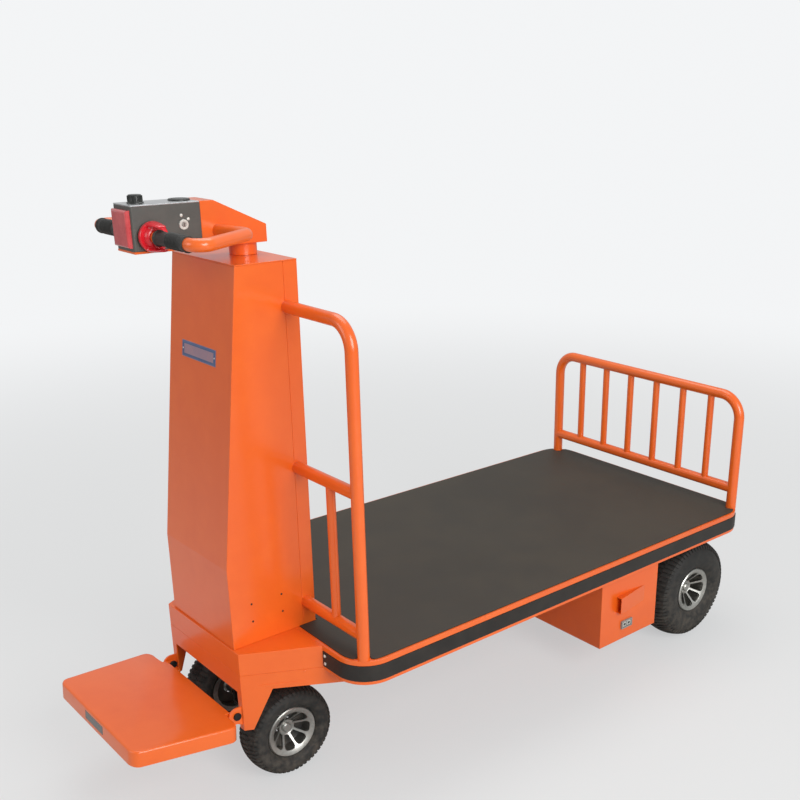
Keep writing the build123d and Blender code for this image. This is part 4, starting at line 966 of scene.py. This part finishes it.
# %% A plate or a frame
(knee_z, knee_x), (top_z, top_x) = COLUMN["front"][1][1:]
SLOPE = atan2(top_x - knee_x, top_z - knee_z)
PLATE_Y, PLATE_Z = 4 * MM, 1093 * MM
PLATE_W, PLATE_H = 160 * MM, 39 * MM
face_x = along(PLATE_Z / MM, COLUMN["front"][1]) * MM - DECK_FRONT
PLATE_TURN = Matrix.Translation((face_x, PLATE_Y, PLATE_Z)) @ Matrix.Rotation(SLOPE, 4, "Y")


def slab(width, height, depth, raised, hole=None):
    """A thin plate on the YZ plane that faces -X, or a frame of that plate."""
    shape = bmesh.new()

    def loop(w, h, x):
        corners = ((-1, -1), (1, -1), (1, 1), (-1, 1))
        return [shape.verts.new((x, y * w / 2, z * h / 2)) for y, z in corners]

    back, front = loop(width, height, -raised), loop(width, height, -raised - depth)
    walls = [(back, front)]
    if hole:
        inner_back, inner_front = loop(*hole, -raised), loop(*hole, -raised - depth)
        walls += [(inner_front, inner_back), (front, inner_front), (inner_back, back)]
    for first, second in walls:
        for k in range(4):
            n = (k + 1) % 4
            shape.faces.new([first[k], first[n], second[n], second[k]])
    if not hole:
        shape.faces.new(front)
        shape.faces.new(list(reversed(back)))
    bmesh.ops.bevel(shape, geom=shape.edges[:], offset=0.25 * MM, segments=1, affect="EDGES")
    return shape


print("the column's front leans back by %.1f degrees" % (SLOPE * 180 / pi))

# %% Nameplate
field = slab(PLATE_W, PLATE_H, 0.9 * MM, 0)
field.transform(PLATE_TURN)
put("nameplate", as_mesh(field, "nameplate"), "plate", "chassis")
border = slab(PLATE_W - 2 * MM, PLATE_H - 2 * MM, 0.5 * MM, 0.8 * MM,
              (PLATE_W - 20 * MM, PLATE_H - 16 * MM))
border.transform(PLATE_TURN)
put("nameplate_border", as_mesh(border, "nameplate_border"), "blue", "chassis")
section = [(0, 0), (2.2 * MM, 0), (1.9 * MM, 0.8 * MM), (1.0 * MM, 1.3 * MM), (0, 1.4 * MM)]
rivets = bmesh.new()
for s in (-1, 1):
    spot = (-1.0 * MM, s * (PLATE_W / 2 - 6 * MM), 0)
    turned(section, spot, (-1, 0, 0), 16, closed=False, shape=rivets)
rivets.transform(PLATE_TURN)
put("nameplate_rivets", as_mesh(rivets, "rivet"), "white", "chassis")

# %% [markdown]
# ## Screws
# Four dark screws sit low on each side of the column, where a bracket is fixed inside. The bumper
# strip is held at each of its ends by two bright screws. A screw's head is turned, with a dome.

# %% Screws on the column and at the strip's ends
def screw_head(centre, axis, radius, height, shape):
    section = [(0, 0), (radius, 0), (radius, height * 0.4), (radius * 0.7, height * 0.85),
               (0, height)]
    turned(section, centre, axis, 18, closed=False, shape=shape)


SCREWS_AHEAD = (-115.8, -31.8)
SCREWS_LEVEL = (503, 456.5)
STRIP_SCREWS_Y, STRIP_SCREWS_Z = 287 * MM, 10.5 * MM
heads = bmesh.new()
for s in (-1, 1):
    for x in SCREWS_AHEAD:
        for z in SCREWS_LEVEL:
            spot = Vector((x * MM - DECK_FRONT, s * along(z, COLUMN["half"][1]) * MM, z * MM))
            screw_head(spot, (0, s, 0), 2.6 * MM, 1.4 * MM, heads)
put("column_screws", as_mesh(heads, "column_screw"), "blackbolt", "chassis")

bumper_low, bumper_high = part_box("edge_bumper")
ends = bmesh.new()
for s in (-1, 1):
    for z in (-STRIP_SCREWS_Z, STRIP_SCREWS_Z):
        spot = Vector((bumper_low.x, s * STRIP_SCREWS_Y, (bumper_low.z + bumper_high.z) / 2 + z))
        screw_head(spot, (-1, 0, 0), 4.2 * MM, 2.2 * MM, ends)
put("strip_screws", as_mesh(ends, "strip_screw"), "white", "chassis")

# %% [markdown]
# ## Two spots of weld
# On each side of the base, one spot of weld holds the cap's skirt to the shell. It stands on the
# nearest point of the shell's own surface.

# %% Welds on the skirt
WELD_X, WELD_Y, WELD_Z = -41, 254, 336
WELD_R, WELD_HEIGHT = 3.4 * MM, 1.6 * MM
bpy.context.view_layer.update()
shell = bpy.data.objects["base_shell_skin"]
welds = bmesh.new()
for s in (-1, 1):
    near = Vector((WELD_X * MM - DECK_FRONT, s * WELD_Y * MM, WELD_Z * MM))
    spot, away = shell.closest_point_on_mesh(near)[1:3]
    screw_head(spot, away, WELD_R, WELD_HEIGHT, welds)
put("skirt_welds", as_mesh(welds, "weld", radians(80)), "paint", "chassis")

# %% [markdown]
# ## The charging socket
# A grey frame holds a dark back with two inlets side by side. Each inlet has a pale raised rim.

# %% Charging socket
socket_low, socket_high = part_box("charge_socket")
SOCKET_AT = (socket_low + socket_high) / 2
SOCKET_AT.y = socket_high.y
quarter = Matrix.Translation(SOCKET_AT) @ Matrix.Rotation(pi / 2, 4, "Z")
OPENING = (38 * MM, 17 * MM)
INLET_PITCH = 19 * MM
rim_plate = slab(OPENING[0] + 9 * MM, OPENING[1] + 8 * MM, 6 * MM, 0, OPENING)
rim_plate.transform(quarter)
put("socket_frame", as_mesh(rim_plate, "socket_frame"), "socket", "chassis",
    ["charge_socket"])
inside = slab(*OPENING, 2 * MM, 0)
inside.transform(quarter)
put("socket_back", as_mesh(inside, "socket_back"), "knob", "chassis",
    ["charge_socket"])
inlet = slab(15 * MM, 13 * MM, 3.4 * MM, 1.6 * MM, (11 * MM, 9 * MM))
inlet.transform(Matrix.Rotation(pi / 2, 4, "Z"))
inlets = with_copies(ROW, bpy.data.meshes.new("bare"), as_mesh(inlet, "inlet"), Copies=2,
                     Centre=SOCKET_AT - Vector((INLET_PITCH / 2, 0, 0)), Step=(INLET_PITCH, 0, 0),
                     Finish=FINISH["white"])
put("socket_inlets", inlets, "white", "chassis", ["charge_socket"])

# %% [markdown]
# ## Studio
# The floor is pale and plain. The key light is a large soft lamp on the cart's near side, with a
# weak one in front and another above. For the camera alone, the floor is part white light of its
# own, more so further out, so it runs into the white surround and still shows the cart's shadow.

# %% Floor
PALE = (0.90, 0.91, 0.92, 1)
FLOOR_HALF = 40
FLOOR_NEAR, FLOOR_FAR = 0.55, 1.0   # the share of its own light that the camera sees
FADE = (1.3, 6.0)                   # metres over which one share turns into the other

mesh = bpy.data.meshes.new("floor")
corners = [(x * FLOOR_HALF, y * FLOOR_HALF, 0) for x, y in ((-1, -1), (1, -1), (1, 1), (-1, 1))]
mesh.from_pydata(corners, [], [(0, 1, 2, 3)])
floor = bpy.data.objects.new("floor", mesh)
SCENE.collection.objects.link(floor)

floor_finish = bpy.data.materials.new("pale_floor")
floor_finish.use_nodes = True
tree = floor_finish.node_tree
wire = Wire(tree)
tree.nodes["Principled BSDF"].inputs["Base Color"].default_value = srgb(206, 206, 204)
tree.nodes["Principled BSDF"].inputs["Roughness"].default_value = 0.8
place = wire.node("ShaderNodeTexCoord", out=3)
reach = wire.node("ShaderNodeVectorMath", {0: place}, {"operation": "LENGTH"}, out=1)
seen = Wire(tree, tree.nodes.new("ShaderNodeLightPath").outputs["Is Camera Ray"])
white = wire.node("ShaderNodeEmission", {"Color": PALE, "Strength": 1.0})
lit = Wire(tree, tree.nodes["Principled BSDF"].outputs[0])
share = seen * (between(wire, reach, *FADE) * (FLOOR_FAR - FLOOR_NEAR) + FLOOR_NEAR)
mixed = wire.node("ShaderNodeMixShader", {0: share, 1: lit, 2: white})
tree.links.new(mixed.socket, tree.nodes["Material Output"].inputs["Surface"])
floor.data.materials.append(floor_finish)
print("floor", 2 * FLOOR_HALF, "metres wide")

# %% Surround
LIGHT, SEEN, MIRRORED = 0.45, 1.0, 0.6      # on the object, for the camera and in gloss
world = bpy.data.worlds.new("surround")
SCENE.world = world
world.use_nodes = True
tree = world.node_tree
wire = Wire(tree)
paths = tree.nodes.new("ShaderNodeLightPath")
seen, mirrored = (Wire(tree, paths.outputs[name]) for name in ("Is Camera Ray", "Is Glossy Ray"))
background = tree.nodes["Background"]
background.inputs["Color"].default_value = PALE
strength = seen * (SEEN - LIGHT) + mirrored * (MIRRORED - LIGHT) + LIGHT
tree.links.new(strength.socket, background.inputs["Strength"])
print("surround", LIGHT, "strong on the object")

# %% Lamps
MIDDLE = Vector((0, 0, 0.6))

# place, size in metres, power in watts
LAMPS = {
    "near_side": ((-0.6, -5.0, 3.0), 3.4, 210),
    "front": ((-4.5, 1.0, 2.6), 2.4, 30),
    "above": ((0.6, 1.0, 4.6), 3.4, 70),
}
for name, (spot, size, power) in LAMPS.items():
    light = bpy.data.lights.new(name, "AREA")
    light.shape = "DISK"
    light.size = size
    light.energy = power
    made = bpy.data.objects.new(name, light)
    made.location = spot
    made.rotation_euler = (MIDDLE - Vector(spot)).to_track_quat("-Z", "Y").to_euler()
    SCENE.collection.objects.link(made)
print(len(LAMPS), "lamps")

# %% [markdown]
# ## Close the notebook
# The view transform stays Standard, so a colour renders as it is written.

# %% View transform
SCENE.view_settings.view_transform = "Standard"
